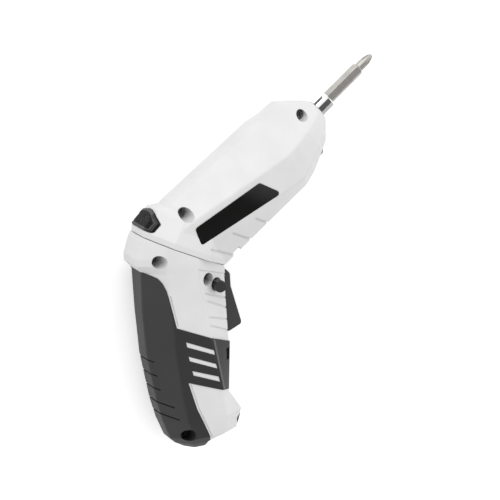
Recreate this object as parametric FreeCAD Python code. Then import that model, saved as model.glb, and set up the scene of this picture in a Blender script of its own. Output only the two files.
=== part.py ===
import FreeCAD, Part
import math
import os

Vector = FreeCAD.Vector
os.makedirs("parts", exist_ok=True)

# All sizes are in millimetres and degrees. +X runs out of the bit holder, +Y is the top of the head,
# +Z is the right-hand side of the tool, which lies on its left side. The origin is the mouth of the
# bit holder.

# Fold of the tool
fold_half_angle = 27.0
swivel_back = 117.0
seam_gap = 0.35

# Plastic shells
head_wall = 2.2
handle_wall = 3.2
corner_radius = 2.4
least_radius = 0.3
rib_width = 2.0
rib_bite = 0.6
case_rib_back = 4.0
motor_rib_back = 8.0

# Clearances
running_fit = 0.05
sliding_fit = 0.25
seat_fit = 0.02
free_gap = 0.4

# Head sections: distance along X, then (height, half width) of the bottom, lower, upper and top corners
nose_face = -9.0
head_sections = [
    (-116.0, [(-23.6, 9.0), (-1.4, 18.4), (13.6, 18.9), (23.6, 6.2)]),
    (-105.0, [(-23.6, 9.0), (-3.4, 18.6), (13.4, 20.2), (24.6, 6.5)]),
    (-42.0, [(-24.0, 9.0), (-16.0, 18.4), (1.2, 20.2), (22.6, 6.2)]),
    (-34.0, [(-22.0, 8.6), (-13.4, 17.8), (1.4, 19.6), (20.9, 6.2)]),
    (-24.0, [(-17.4, 8.0), (-9.4, 16.0), (2.0, 17.4), (20.4, 6.0)]),
    (-17.0, [(-14.2, 6.8), (-7.2, 13.0), (2.2, 14.2), (14.4, 5.0)]),
    (-12.0, [(-9.4, 5.0), (-4.8, 9.6), (2.2, 10.4), (9.8, 4.0)]),
    (nose_face, [(-6.6, 3.8), (-3.4, 7.2), (1.8, 7.6), (6.6, 3.4)]),
]
nose_cavity_sections = 6

# Collar of the head: distance along the swivel axis, then (depth, half width) from rear to front
collar_height = 16.0
collar_sections = [
    (0.0, [(-25.6, 9.5), (-11.0, 20.2), (11.0, 20.2), (25.6, 9.5)]),
    (3.0, [(-26.4, 9.8), (-11.4, 20.6), (11.0, 20.4), (25.6, 9.5)]),
    (collar_height, [(-22.6, 8.0), (-9.5, 18.4), (8.0, 18.2), (20.0, 8.0)]),
    (19.6, [(-17.0, 6.4), (-8.0, 16.4), (6.0, 16.0), (16.0, 6.4)]),
]
collar_cavity_sections = 3

# Handle sections: height along the handle, then (depth, half width) from rear to front
handle_sections = [
    (16.0, [(-21.0, 9.0), (-10.0, 20.2), (3.0, 20.2), (22.8, 9.5)]),
    (9.0, [(-25.0, 9.5), (-12.0, 20.2), (3.0, 20.2), (22.8, 9.5)]),
    (0.0, [(-28.2, 10.0), (-15.0, 20.2), (3.2, 20.2), (22.8, 9.5)]),
    (-4.0, [(-28.2, 10.0), (-15.0, 20.2), (3.4, 20.2), (22.8, 9.5)]),
    (-8.6, [(-24.9, 7.2), (-14.6, 19.7), (3.6, 19.9), (23.2, 9.3)]),
    (-30.0, [(-25.6, 6.0), (-13.6, 19.2), (6.0, 19.5), (22.9, 9.0)]),
    (-56.0, [(-25.0, 6.0), (-12.6, 18.8), (9.0, 19.0), (22.6, 9.0)]),
    (-83.0, [(-21.4, 6.0), (-10.0, 18.0), (13.2, 18.0), (19.8, 9.0)]),
    (-94.6, [(-18.8, 5.6), (-8.0, 17.6), (15.0, 17.6), (26.9, 8.5)]),
    (-105.0, [(-15.2, 5.0), (-5.5, 16.0), (12.0, 16.0), (23.4, 8.0)]),
    (-108.6, [(-12.0, 4.0), (-4.6, 13.0), (3.6, 13.0), (9.4, 6.0)]),
    (-111.6, [(-7.0, 3.4), (-3.0, 9.4), (3.0, 9.4), (7.0, 4.4)]),
]
handle_cavity_sections = 10

# Rubber grip: outline in (depth, height) of the handle
grip_depth = 1.8
grip_proud = 0.3
grip_outline = [
    (-40.0, -7.6),
    (-24.5, -8.0),
    (-20.7, -9.8),
    (-18.5, -11.1),
    (-16.8, -13.7),
    (-15.6, -17.0),
    (-14.8, -20.6),
    (-11.5, -39.3),
    (40.0, -63.4),
    (40.0, -90.0),
    (-7.1, -71.3),
    (-3.0, -87.4),
    (4.0, -104.8),
    (9.0, -125.0),
    (-40.0, -125.0),
]

# Surface details of the handle, in (depth, height)
facet_recess = 0.4
facet_outline = [
    (3.4, -8.6),
    (40.0, -23.6),
    (40.0, -63.4),
    (8.3, -48.6),
    (7.1, -31.6),
    (3.8, -20.8),
]
facet_groove_depth = 0.4
facet_groove_width = 0.8
facet_grooves = [
    ((6.7, -23.1), (30.0, -33.9)),
    ((7.6, -27.6), (30.0, -40.4)),
    ((8.5, -37.0), (30.0, -45.8)),
    ((8.6, -41.8), (30.0, -53.0)),
]
band_slots = [
    [(-6.8, -48.0), (9.1, -55.5), (9.6, -58.4), (-6.4, -51.0)],
    [(-6.0, -56.3), (9.8, -63.5), (10.5, -66.4), (-5.4, -59.2)],
    [(-4.4, -64.9), (10.9, -71.0), (11.5, -74.2), (-3.9, -67.6)],
]
grip_groove_depth = 0.7
grip_groove_width = 0.7
grip_grooves = [
    ((-40.0, -51.6), (-22.2, -59.2)),
    ((-40.0, -59.3), (-21.0, -67.4)),
    ((-40.0, -67.0), (-19.8, -75.6)),
    ((-40.0, -74.6), (-14.2, -85.7)),
    ((-40.0, -81.2), (-12.0, -93.1)),
]
lip_groove_depth = 0.4
lip_groove_width = 0.4
lip_grooves = [
    ((-13.6, -20.8), (-10.6, -38.6)),
    ((-5.6, -72.6), (-1.7, -87.8)),
    ((-1.7, -87.8), (5.3, -105.2)),
]

# Surface details of the head, in X and Y
head_groove_depth = 0.7
head_groove_width = 1.1
head_grooves = [
    ((-76.6, -13.2), (-71.0, -26.0)),
    ((-91.6, -9.4), (-83.8, -26.0)),
    ((-107.2, -5.8), (-96.2, -26.0)),
]
label_outline = [(-105.8, 9.4), (-109.4, -0.6), (-57.0, -12.4), (-63.0, 1.8)]
label_corner = 1.6
label_sink = 0.7
label_proud = 0.3
vent_place = -95.2
vent_length = 5.0
vent_half_width = 10.5
vent_depth = 3.2

# Case screws, each driven from the right-hand side
screw_head_radius = 2.8
screw_head_height = 2.0
screw_radius = 1.45
screw_length = 13.0
screw_seat = 4.0
screw_slot = 0.9
screw_cross = 1.7
recess_radius = 3.6
boss_radius = 4.1
nose_recess_radius = 3.1
head_screw_places = [(-19.4, 8.4), (-104.0, 17.0)]
handle_screw_places = [(-17.7, -1.6), (10.0, -16.2)]
grip_screw_place = (-7.7, -102.4)
grip_liner = 0.7

# Swivel: heights are along the swivel axis from the seam
hub_radius = 9.5
hub_bore = 7.0
floor_height = 2.4
web_top = -4.0
web_height = 3.0
flange_radius = 10.5
flange_height = 2.0
end_play = 0.1
ring_inner = 12.5
ring_outer = 16.4
ring_height = 2.8
ring_peg_radius = 1.2
ring_peg_place = 14.4
notch_reach = 15.3
notch_half_width = 2.3

# Lock button of the swivel, pushed towards the swivel axis
lock_travel = 2.4
lock_corners = [(3.8, 12.3), (9.6, 12.2), (13.7, 8.0), (14.9, 2.0)]
lock_rounding = 1.1
lock_proud = 0.8
lock_thickness = 2.6
lock_arm_low = 4.2
lock_arm_high = 7.2
lock_arm_half_width = 3.4
tooth_outer = 14.9
tooth_inner = 13.1
tooth_low = -0.8
tooth_half_width = 2.0
lock_spring_post = 8.6
lock_spring_post_width = 1.5
lock_spring_radius = 1.4

# Springs
spring_wire = 0.25
spring_seat = 0.35
spring_turns = 3

# Work light under the nose
light_place = (-23.6, -17.0)
light_lean = -60.0
light_radius = 3.0
light_stand = 1.4
light_root = 1.9
diode_radius = 1.6
diode_height = 1.0

# Motor
motor_radius = 13.85
motor_front = -54.0
motor_rear = -88.0
motor_cap = 4.0
motor_wall = 1.2
magnet_thickness = 2.2
magnet_angle = 120.0
magnet_length = 24.0
rotor_radius = 9.9
rotor_front = -60.0
rotor_rear = -80.0
rotor_slot = 2.4
rotor_slots = 5
rotor_core = 4.95
commutator_radius = 4.0
shaft_radius = 1.15
shaft_rear = -91.0
terminal_size = 3.0
terminal_height = 5.0
terminal_thickness = 0.5
cap_spigot = 2.0
brush_room = 0.8
brush_recess = 2.0
commutator_end = 1.0

# Gear train
gear_module = 0.5
sun_teeth = 12
planet_teeth = 18
ring_teeth = sun_teeth + 2 * planet_teeth
planet_count = 3
flank_angle = 20.0
tooth_tip = 0.40
tooth_root = 0.62
backlash = 0.18
planet_width = 6.8
planet_pin = 1.2
carrier_radius = 10.6
carrier_width = 2.6
stage_gap = 0.3
gear_case_radius = 14.5
gear_case_front = -26.0
gear_case_wall = 2.0
gear_case_bore = 5.2

# Output: bit holder, bush, clip, magnet and bit
holder_radius = 6.0
holder_collar = 11.0
holder_chamfer = 0.6
holder_step = 0.3
journal_radius = 4.6
journal_end = -24.4
bush_radius = 6.7
bush_front = -12.0
bush_rear = -21.8
clip_radius = 6.2
clip_width = 0.8
clip_depth = 0.4
spindle_radius = 3.0
spindle_front = -19.6
bit_flats = 6.35
bit_fit = 0.06
bit_turn = -9.0
bit_depth = 15.0
bit_hex_end = 24.6
bit_tip = 34.6
bit_neck = 2.6
bit_profile = [(28.2, 2.5), (32.8, 1.75), (bit_tip, 1.0)]
flute_count = 4
flute_width = 1.2
flute_core = 0.9
flute_start = 27.4
flute_turn = 23.0
magnet_radius = 2.4
magnet_height = 2.6

# Trigger and direction selector, places in (depth, height) of the handle
trigger_outline = [
    (19.4, -15.2),
    (24.8, -15.2),
    (27.2, -17.9),
    (27.1, -25.3),
    (31.8, -46.1),
    (31.4, -47.7),
    (24.4, -50.6),
    (17.0, -50.6),
    (17.0, -27.0),
    (19.4, -25.0),
]
trigger_half_width = 6.0
trigger_slot = [(13.5, -14.2), (60.0, -14.2), (60.0, -51.6), (13.5, -51.6)]
trigger_pivot = (21.8, -18.2)
trigger_pin_radius = 1.5
trigger_pin_length = 15.2
pivot_boss_radius = 3.4
trigger_spring_height = -38.0
trigger_spring_radius = 2.4
selector_place = (15.8, -20.6)
selector_radius = 3.4
selector_neck = 1.8
selector_end = 19.5
selector_travel = 7.0
selector_knob = 6.3
switch_outline = [(-8.0, -24.0), (11.0, -24.0), (11.0, -46.0), (-8.0, -46.0)]
switch_half_width = 8.0
switch_rib = 2.0
switch_rib_places = [-6.0, 4.0]

# Battery pack, in (depth, height) of the handle
cell_radius = 7.1
cell_length = 43.0
cell_cap_radius = 2.6
cell_cap_height = 0.8
pack_place = (0.5, -93.6)
pack_lean = 6.0
strap_thickness = 0.3
strap_half_width = 2.5
cradle_places = [-62.0, -88.0]
cradle_front = 12.0

# Charging parts, in (depth, height) of the handle
jack_place = (24.4, -100.0)
jack_lean = -20.0
jack_radius = 4.0
jack_length = 7.8
jack_bore = 2.8
jack_bore_depth = 7.1
jack_pin = 1.0
jack_pin_length = 4.5
bezel_half_width = 9.6
bezel_half_height = 4.8
bezel_depth = 1.2
bezel_proud = 0.2
board_front = 13.4
board_thickness = 1.6
board_low = -102.0
board_high = -86.0
board_half_width = 8.0
board_post = 1.6
light_window_low = -64.8
light_window_high = -58.2
light_window_half_width = 11.8
light_window_depth = 2.4
light_window_proud = 0.3

# Reach of cutting boxes: past the whole tool, and past a face that a cut opens
wide = 80.0
overcut = 1.0

swivel_centre = Vector(-swivel_back, 0, 0)
side_axis = Vector(0, 0, 1)
handle_turn = FreeCAD.Rotation(side_axis, 2 * fold_half_angle - 90)
swivel_turn = FreeCAD.Rotation(side_axis, fold_half_angle - 90)
handle_frame = FreeCAD.Placement(swivel_centre, handle_turn)
swivel_frame = FreeCAD.Placement(swivel_centre, swivel_turn)
swivel_in_handle = handle_frame.inverse().multiply(swivel_frame)


def placed(shape, frame):
    moved = shape.copy()
    moved.Placement = frame.multiply(moved.Placement)
    return moved


def left_of(shape):
    return shape.mirror(Vector(0, 0, 0), side_axis)


def save(name, shape):
    shape.exportStep("parts/" + name + ".step")


def along_x(station, across, side):
    return Vector(station, across, side)


def along_y(station, across, side):
    return Vector(across, station, side)


def meeting_point(one, two):
    cross = one[2] * two[3] - one[3] * two[2]
    far = ((two[0] - one[0]) * two[3] - (two[1] - one[1]) * two[2]) / cross
    return (one[0] + one[2] * far, one[1] + one[3] * far)


def inset_corners(corners, depth):
    chain = [(corners[0][0], 0.0)] + corners + [(corners[-1][0], 0.0)]
    lines = []
    for start, end in zip(chain, chain[1:]):
        run = math.hypot(end[0] - start[0], end[1] - start[1])
        step = ((end[0] - start[0]) / run, (end[1] - start[1]) / run)
        lines.append((start[0] + step[1] * depth, start[1] - step[0] * depth, step[0], step[1]))
    return [meeting_point(one, two) for one, two in zip(lines, lines[1:])]


def rounded_corner(before, corner, after, radius):
    to_before = Vector(before[0] - corner[0], before[1] - corner[1], 0).normalize()
    to_after = Vector(after[0] - corner[0], after[1] - corner[1], 0).normalize()
    half = to_before.getAngle(to_after) / 2
    reach = radius / math.tan(half)
    middle = (to_before + to_after).normalize() * (radius / math.sin(half) - radius)
    points = (to_before * reach, middle, to_after * reach)
    return [(corner[0] + point.x, corner[1] + point.y) for point in points]


def section_wire(station, corners, depth, base, axis, rounding=corner_radius):
    inner = inset_corners(corners, depth)
    radius = max(rounding - depth, least_radius)
    chain = [(inner[0][0], base)] + inner + [(inner[-1][0], base)]
    edges = []
    last = axis(station, chain[0][0], base)
    for before, corner, after in zip(chain, chain[1:], chain[2:]):
        points = [axis(station, *point) for point in rounded_corner(before, corner, after, radius)]
        edges.append(Part.makeLine(last, points[0]))
        edges.append(Part.Arc(*points).toShape())
        last = points[2]
    end = axis(station, chain[-1][0], base)
    edges.append(Part.makeLine(last, end))
    edges.append(Part.makeLine(end, axis(station, chain[0][0], base)))
    return Part.Wire(edges)


def half_form(sections, axis, depth=0.0, base=0.0):
    wires = [section_wire(station, corners, depth, base, axis) for station, corners in sections]
    form = Part.makeLoft(wires, True, True)
    if form.Volume < 0:
        form.reverse()
    return form


def prism(points, low, high):
    corners = [Vector(x, y, low) for x, y in points]
    face = Part.Face(Part.makePolygon(corners + corners[:1]))
    return face.extrude(Vector(0, 0, high - low))


def strip(start, end, width):
    along = Vector(end[0] - start[0], end[1] - start[1], 0).normalize()
    across = Vector(-along.y, along.x, 0) * (width / 2)
    corners = []
    for point, side in ((start, 1), (end, 1), (end, -1), (start, -1)):
        corners.append((point[0] + across.x * side, point[1] + across.y * side))
    return corners


def strips(lines, width):
    return [prism(strip(start, end, width), -overcut, wide) for start, end in lines]


def soft_prism(points, radius, low, high):
    arcs = []
    for before, corner, after in zip(points[-1:] + points, points, points[1:] + points[:1]):
        bend = rounded_corner(before, corner, after, radius)
        arcs.append([Vector(x, y, low) for x, y in bend])
    edges = []
    for one, two in zip(arcs, arcs[1:] + arcs[:1]):
        edges.append(Part.Arc(*one).toShape())
        edges.append(Part.makeLine(one[2], two[0]))
    return Part.Face(Part.Wire(edges)).extrude(Vector(0, 0, high - low))


def skin_cut(cutters, form):
    trimmed = [cutter.cut(form) for cutter in cutters]
    return trimmed[0].multiFuse(trimmed[1:]) if len(trimmed) > 1 else trimmed[0]


def rod(radius, start, end):
    return Part.makeCylinder(radius, end - start, Vector(start, 0, 0), Vector(1, 0, 0))


def post(place, radius, low, high):
    return Part.makeCylinder(radius, high - low, Vector(place[0], place[1], low), side_axis)


def block(corner, opposite):
    size = Vector(*opposite) - Vector(*corner)
    return Part.makeBox(size.x, size.y, size.z, Vector(*corner))


def across_swivel(low, high):
    return block((-wide, low, 0.0), (wide, high, wide))


def half_turned(points):
    corners = [Vector(radius, height, 0) for radius, height in points]
    face = Part.Face(Part.makePolygon(corners + corners[:1]))
    return face.revolve(Vector(0, 0, 0), Vector(0, 1, 0), -180)


def half_bore(radius):
    top = floor_height + overcut
    return half_turned([(0, -wide), (radius, -wide), (radius, top), (0, top)])


def turned(points, axis):
    corners = [Vector(along, radius, 0) for along, radius in points]
    face = Part.Face(Part.makePolygon(corners + corners[:1]))
    return face.revolve(Vector(0, 0, 0), axis, 360)


def joined(shapes):
    return shapes[0].multiFuse(shapes[1:]).removeSplitter()


# Head of the tool

def head_form(depth=0.0, base=0.0):
    body = half_form(head_sections, along_x, depth, base)
    collar = half_form(collar_sections, along_y, depth, base)
    return body.fuse(placed(collar, swivel_frame))


def head_hollow():
    body = half_form(head_sections[:nose_cavity_sections], along_x, head_wall, -rib_bite)
    collar = half_form(collar_sections[:collar_cavity_sections], along_y, head_wall, -rib_bite)
    floor = block((-wide, -wide, -wide), (wide, floor_height, wide))
    return body.fuse(placed(collar, swivel_frame)).cut(placed(floor, swivel_frame))


def head_ribs():
    form = half_form(head_sections, along_x, rib_bite)
    case_bore = rod(gear_case_radius + seat_fit, gear_case_front - wide, gear_case_front)
    motor_bore = rod(motor_radius + seat_fit, motor_front - wide, motor_front)
    stop_front = gear_case_front + rib_width + overcut
    stop_bore = rod(clip_radius + free_gap, gear_case_front - overcut, stop_front)
    ribs = []
    for place, bore in (
        (gear_case_front, stop_bore),
        (gear_case_front - case_rib_back, case_bore),
        (motor_front + rib_width, case_bore),
        (motor_front - motor_rib_back, motor_bore),
        (motor_rear + rib_width, motor_bore),
    ):
        plate = block((place, -wide, 0.0), (place + rib_width, wide, wide))
        ribs.append(plate.common(form).cut(bore))
    return ribs


def hub_half():
    low = web_top - web_height - end_play
    return half_turned([
        (hub_bore, floor_height),
        (hub_radius, floor_height),
        (hub_radius, low),
        (flange_radius, low),
        (flange_radius, low - flange_height),
        (hub_bore, low - flange_height),
    ])


def lock_window(grow, base, rear, front):
    face = Part.Face(section_wire(rear, lock_corners, -grow, base, along_x, lock_rounding))
    return face.extrude(Vector(front - rear, 0, 0))


def head_half():
    outer = head_form()
    shell = outer.cut(placed(across_swivel(-wide, 0.0), swivel_frame))
    shell = shell.cut(head_hollow())
    bosses = [post(place, boss_radius, 0.0, wide).common(outer) for place in head_screw_places]
    shell = shell.multiFuse(head_ribs() + bosses)
    spring_post = block(
        (-lock_spring_post, floor_height - rib_bite, 0.0),
        (-lock_spring_post + lock_spring_post_width, lock_arm_high, lock_arm_half_width),
    )
    shell = shell.multiFuse([placed(hub_half(), swivel_frame), placed(spring_post, swivel_frame)])
    lead_hole = half_bore(hub_bore)
    tooth_slot = block(
        (-tooth_outer - free_gap, -wide, -overcut),
        (-tooth_inner + lock_travel + free_gap, floor_height + overcut, tooth_half_width + free_gap),
    )
    shell = shell.cut([placed(lead_hole, swivel_frame), placed(tooth_slot, swivel_frame)])
    bores = [
        rod(holder_radius + free_gap, bush_front, overcut),
        rod(bush_radius + seat_fit, bush_rear - rib_width, bush_front),
        rod(gear_case_radius + seat_fit, motor_front, gear_case_front),
    ]
    vent = block(
        (vent_place - vent_length / 2, -wide, -overcut),
        (vent_place + vent_length / 2, head_sections[1][1][0][0] + vent_depth, vent_half_width),
    )
    window = placed(lock_window(sliding_fit, -overcut, -wide, -tooth_outer), swivel_frame)
    shell = shell.cut(bores + [vent, window, light_hole()])
    grooves = strips(head_grooves, head_groove_width)
    return shell.cut(skin_cut(grooves, head_form(head_groove_depth, -rib_bite)))


def light_frame():
    spot = Vector(light_place[0], light_place[1], 0)
    return FreeCAD.Placement(spot, FreeCAD.Rotation(side_axis, light_lean))


def light_hole():
    return placed(rod(light_radius + seat_fit, -light_root - diode_height, wide), light_frame())


def work_light_lens():
    barrel = rod(light_radius, -light_root, light_stand)
    dome = Part.makeSphere(light_radius, Vector(light_stand, 0, 0))
    behind = block((-wide, -wide, -wide), (light_stand, wide, wide))
    return placed(barrel.fuse(dome.cut(behind)).removeSplitter(), light_frame())


def work_light_diode():
    return placed(rod(diode_radius, -light_root - diode_height, -light_root), light_frame())


def screw_at(place, low):
    shank = post(place, screw_radius, low - screw_length, low)
    head = post(place, screw_head_radius, low, low + screw_head_height)
    cross = []
    for turn in (0, 90):
        slot = block(
            (place[0] - screw_cross, place[1] - screw_slot / 2, low + screw_head_height / 2),
            (place[0] + screw_cross, place[1] + screw_slot / 2, low + screw_head_height),
        )
        slot.rotate(Vector(place[0], place[1], 0), side_axis, turn)
        cross.append(slot)
    return shank.fuse(head).cut(cross).removeSplitter()


def screw_holes(places, right, radius=recess_radius):
    holes = []
    for place in places:
        if right:
            holes.append(post(place, radius, screw_seat, wide))
            holes.append(post(place, screw_radius + seat_fit, -overcut, wide))
        else:
            tip = screw_seat - screw_length - overcut
            holes.append(post(place, screw_radius + seat_fit, tip, overcut))
    return holes


def label_pocket():
    pocket = soft_prism(label_outline, label_corner, 0.0, wide)
    return skin_cut([pocket], half_form(head_sections, along_x, label_sink, -rib_bite))


def label_plate():
    plate = soft_prism(label_outline, label_corner, 0.0, wide)
    plate = plate.common(half_form(head_sections, along_x, -label_proud))
    return plate.cut(half_form(head_sections, along_x, label_sink, -rib_bite))


def lock_button():
    outer = half_form(collar_sections, along_y, -lock_proud)
    inner = half_form(collar_sections, along_y, lock_thickness, -rib_bite)
    half = outer.common(lock_window(0.0, 0.0, -wide, -tooth_outer)).cut(inner)
    pad = half.fuse(left_of(half))
    arm = block(
        (collar_sections[1][1][0][0] + lock_thickness / 2, lock_arm_low, -lock_arm_half_width),
        (-tooth_inner, lock_arm_high, lock_arm_half_width),
    )
    tooth = block(
        (-tooth_outer, tooth_low, -tooth_half_width),
        (-tooth_inner, lock_arm_high, tooth_half_width),
    )
    return placed(joined([pad, arm, tooth]), swivel_frame)


def on_helix(radius, rise, quarter):
    angle = quarter * math.pi / 2
    point = Vector(radius * math.cos(angle), radius * math.sin(angle), spring_seat + rise * angle)
    heading = Vector(-radius * math.sin(angle), radius * math.cos(angle), rise).normalize()
    return point, heading


def arc_under(start, corner, end):
    chord = (start + end) * 0.5
    half = (end - start).Length / 2
    lift = corner - chord
    sag = half * math.tan(math.atan(lift.Length / half) / 2)
    return Part.Arc(start, chord + lift.normalize() * sag, end).toShape()


def biarc(one, two):
    span = two[0] - one[0]
    headings = one[1] + two[1]
    square = headings.dot(headings) - 4
    slope = -2 * span.dot(headings)
    reach = (-slope - math.sqrt(slope * slope - 4 * square * span.dot(span))) / (2 * square)
    first = one[0] + one[1] * reach
    second = two[0] - two[1] * reach
    middle = (first + second) * 0.5
    return [arc_under(one[0], first, middle), arc_under(middle, second, two[0])]


def coil(radius, length, turns):
    rise = (length - 2 * spring_seat) / (2 * math.pi * turns)
    arcs = []
    for quarter in range(4 * turns):
        arcs += biarc(on_helix(radius, rise, quarter), on_helix(radius, rise, quarter + 1))
    start, heading = on_helix(radius, rise, 0)
    circle = Part.Wire(Part.makeCircle(spring_wire, start, heading))
    return Part.Wire(arcs).makePipeShell([circle], True, False)


def coil_between(start, end, radius):
    wound = coil(radius, (end - start).Length, spring_turns)
    return placed(wound, FreeCAD.Placement(start, FreeCAD.Rotation(side_axis, end - start)))


def lock_spring():
    height = (lock_arm_low + lock_arm_high) / 2
    start = Vector(-tooth_inner, height, 0)
    end = Vector(-lock_spring_post, height, 0)
    return placed(coil_between(start, end, lock_spring_radius), swivel_frame)


# Handle of the tool

def handle_form(depth=0.0, base=0.0):
    return half_form(handle_sections, along_y, depth, base)


def handle_hollow():
    return half_form(handle_sections[:handle_cavity_sections], along_y, handle_wall, -rib_bite)


def above_seam():
    return placed(across_swivel(-seam_gap, wide), swivel_in_handle)


def web_half():
    plate = across_swivel(web_top - web_height, web_top)
    plate = plate.cut(half_bore(hub_radius + running_fit))
    for side in (-1, 1):
        spot = (0.0, side * ring_peg_place)
        plate = plate.cut(upright(ring_peg_radius + seat_fit, spot, web_top - web_height, web_top))
    return placed(plate, swivel_in_handle).common(handle_form(rib_bite))


def pack_frame():
    spot = Vector(pack_place[0], pack_place[1], 0)
    return FreeCAD.Placement(spot, FreeCAD.Rotation(side_axis, pack_lean))


def cell_places():
    pitch = 2 * cell_radius
    return [
        (-pitch * math.sqrt(3) / 3, 0.0),
        (pitch * math.sqrt(3) / 6, pitch / 2),
        (pitch * math.sqrt(3) / 6, -pitch / 2),
    ]


def upright(radius, place, low, high):
    return Part.makeCylinder(radius, high - low, Vector(place[0], low, place[1]), Vector(0, 1, 0))


def handle_ribs():
    form = handle_form(rib_bite)
    ribs = []
    for place in cradle_places:
        plate = block((-wide, place, 0.0), (cradle_front, place + rib_width, wide)).common(form)
        for spot in cell_places():
            plate = plate.cut(placed(upright(cell_radius + seat_fit, spot, -overcut, wide), pack_frame()))
        ribs.append(plate)
    for place in switch_rib_places:
        rib = block(
            (place, switch_outline[2][1], switch_half_width + seat_fit),
            (place + switch_rib, switch_outline[0][1], wide),
        )
        ribs.append(rib.common(form))
    middle = (board_low + board_high) / 2
    holder = block(
        (board_front - board_post, middle, board_half_width - board_post / 2),
        (board_front + board_thickness + board_post, middle + board_post, wide),
    )
    slot = block(
        (board_front - seat_fit, board_low, 0.0),
        (board_front + board_thickness + seat_fit, board_high, board_half_width + seat_fit),
    )
    ribs.append(holder.cut(slot).common(form))
    pivot = post(trigger_pivot, pivot_boss_radius, trigger_half_width + free_gap, wide)
    ribs.append(pivot.common(form))
    return ribs


def jack_frame():
    spot = Vector(jack_place[0], jack_place[1], 0)
    return FreeCAD.Placement(spot, FreeCAD.Rotation(side_axis, jack_lean))


def bezel_prism(grow):
    side = Vector(0, 0, bezel_half_width + grow)
    top = Vector(0, bezel_half_height + grow, 0)
    rim = Part.Ellipse(side, top, Vector(0, 0, 0)).toShape()
    rim.translate(Vector(-jack_radius, 0, 0))
    return placed(Part.Face(Part.Wire(rim)).extrude(Vector(wide, 0, 0)), jack_frame())


def charging_jack():
    half = handle_form(-bezel_proud).common(bezel_prism(0.0))
    half = half.cut(handle_form(bezel_depth, -rib_bite))
    barrel = placed(rod(jack_radius, -jack_length, 0.0), jack_frame())
    bore = rod(jack_bore, -jack_bore_depth, wide)
    bore = bore.cut(rod(jack_pin, -jack_bore_depth, jack_pin_length - jack_bore_depth))
    return joined([half, left_of(half), barrel]).cut(placed(bore, jack_frame()))


def handle_half():
    outer = handle_form()
    shell = outer.cut(handle_hollow())
    bosses = [post(place, boss_radius, 0.0, wide).common(outer) for place in handle_screw_places]
    bosses.append(post(grip_screw_place, boss_radius + grip_liner, 0.0, wide).common(outer))
    shell = shell.multiFuse(handle_ribs() + bosses + [web_half()])
    shell = shell.cut(above_seam())
    grip_pocket = skin_cut([prism(grip_outline, -overcut, wide)], handle_form(grip_depth, -rib_bite))
    shell = shell.cut(grip_pocket.cut(slot_prisms()))
    facet = prism(facet_outline, -overcut, wide)
    shell = shell.cut(skin_cut([facet], handle_form(facet_recess, -rib_bite)))
    grooves = strips(facet_grooves, facet_groove_width)
    shell = shell.cut(skin_cut(grooves, handle_form(facet_recess + facet_groove_depth, -rib_bite)))
    lips = strips(lip_grooves, lip_groove_width)
    shell = shell.cut(skin_cut(lips, handle_form(lip_groove_depth, -rib_bite)))
    cuts = [
        prism(trigger_slot, -overcut, trigger_half_width + free_gap),
        post(trigger_pivot, trigger_pin_radius + seat_fit, -overcut, trigger_pin_length / 2 + seat_fit),
        post(selector_place, selector_radius + sliding_fit, -overcut, wide),
        placed(rod(jack_radius + seat_fit, -jack_length, wide), jack_frame()),
        skin_cut([bezel_prism(seat_fit)], handle_form(bezel_depth, -rib_bite)),
        skin_cut([light_window(seat_fit)], handle_form(light_window_depth, -rib_bite)),
    ]
    return shell.cut(cuts)


def slot_prisms():
    return [prism(outline, -2 * overcut, wide) for outline in band_slots]


def grip_half():
    outer = handle_form(-grip_proud)
    pad = outer.common(prism(grip_outline, 0.0, wide)).cut(handle_form(grip_depth, -rib_bite))
    pad = pad.cut(slot_prisms())
    grooves = strips(grip_grooves, grip_groove_width)
    pad = pad.cut(skin_cut(grooves, handle_form(grip_groove_depth, -rib_bite)))
    return pad.cut(light_window(seat_fit))


def lined_grip(pad):
    liner = post(grip_screw_place, recess_radius + grip_liner, screw_seat, wide).common(handle_form())
    return pad.fuse(liner).cut(post(grip_screw_place, recess_radius, -overcut, wide))


def light_window(grow):
    return block(
        (board_front, light_window_low - grow, -overcut),
        (wide, light_window_high + grow, light_window_half_width + grow),
    )


def charge_light():
    half = handle_form(-light_window_proud).common(light_window(0.0))
    half = half.cut(handle_form(light_window_depth, -rib_bite))
    return half.fuse(left_of(half)).removeSplitter()


def index_ring():
    top = web_top + ring_height
    half = half_turned([(ring_inner, web_top), (ring_outer, web_top), (ring_outer, top), (ring_inner, top)])
    ring = half.fuse(left_of(half)).removeSplitter()
    cuts = []
    for side in (-1, 1):
        low = min(0.0, side * notch_reach)
        high = low + notch_reach
        cuts.append(block((low, web_top - overcut, -notch_half_width), (high, 0.0, notch_half_width)))
    pegs = []
    for side in (-1, 1):
        spot = (0.0, side * ring_peg_place)
        pegs.append(upright(ring_peg_radius, spot, web_top - web_height + free_gap, web_top))
    return placed(ring.cut(cuts).multiFuse(pegs).removeSplitter(), swivel_frame)


def trigger():
    body = prism(trigger_outline, -trigger_half_width, trigger_half_width)
    hole = post(trigger_pivot, trigger_pin_radius + running_fit, -wide, wide)
    return placed(body.cut(hole), handle_frame)


def trigger_pin():
    reach = trigger_pin_length / 2
    return placed(post(trigger_pivot, trigger_pin_radius, -reach, reach), handle_frame)


def trigger_spring():
    back = min(point[0] for point in trigger_outline)
    start = Vector(switch_outline[1][0], trigger_spring_height, 0)
    end = Vector(back, trigger_spring_height, 0)
    return placed(coil_between(start, end, trigger_spring_radius), handle_frame)


def trigger_switch():
    return placed(prism(switch_outline, -switch_half_width, switch_half_width), handle_frame)


def direction_selector():
    low = selector_travel - selector_end
    bolt = post(selector_place, selector_neck, low, selector_end)
    right = post(selector_place, selector_radius, selector_end - selector_knob, selector_end)
    left = post(selector_place, selector_radius, low, low + selector_knob)
    return placed(joined([bolt, right, left]), handle_frame)


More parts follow.
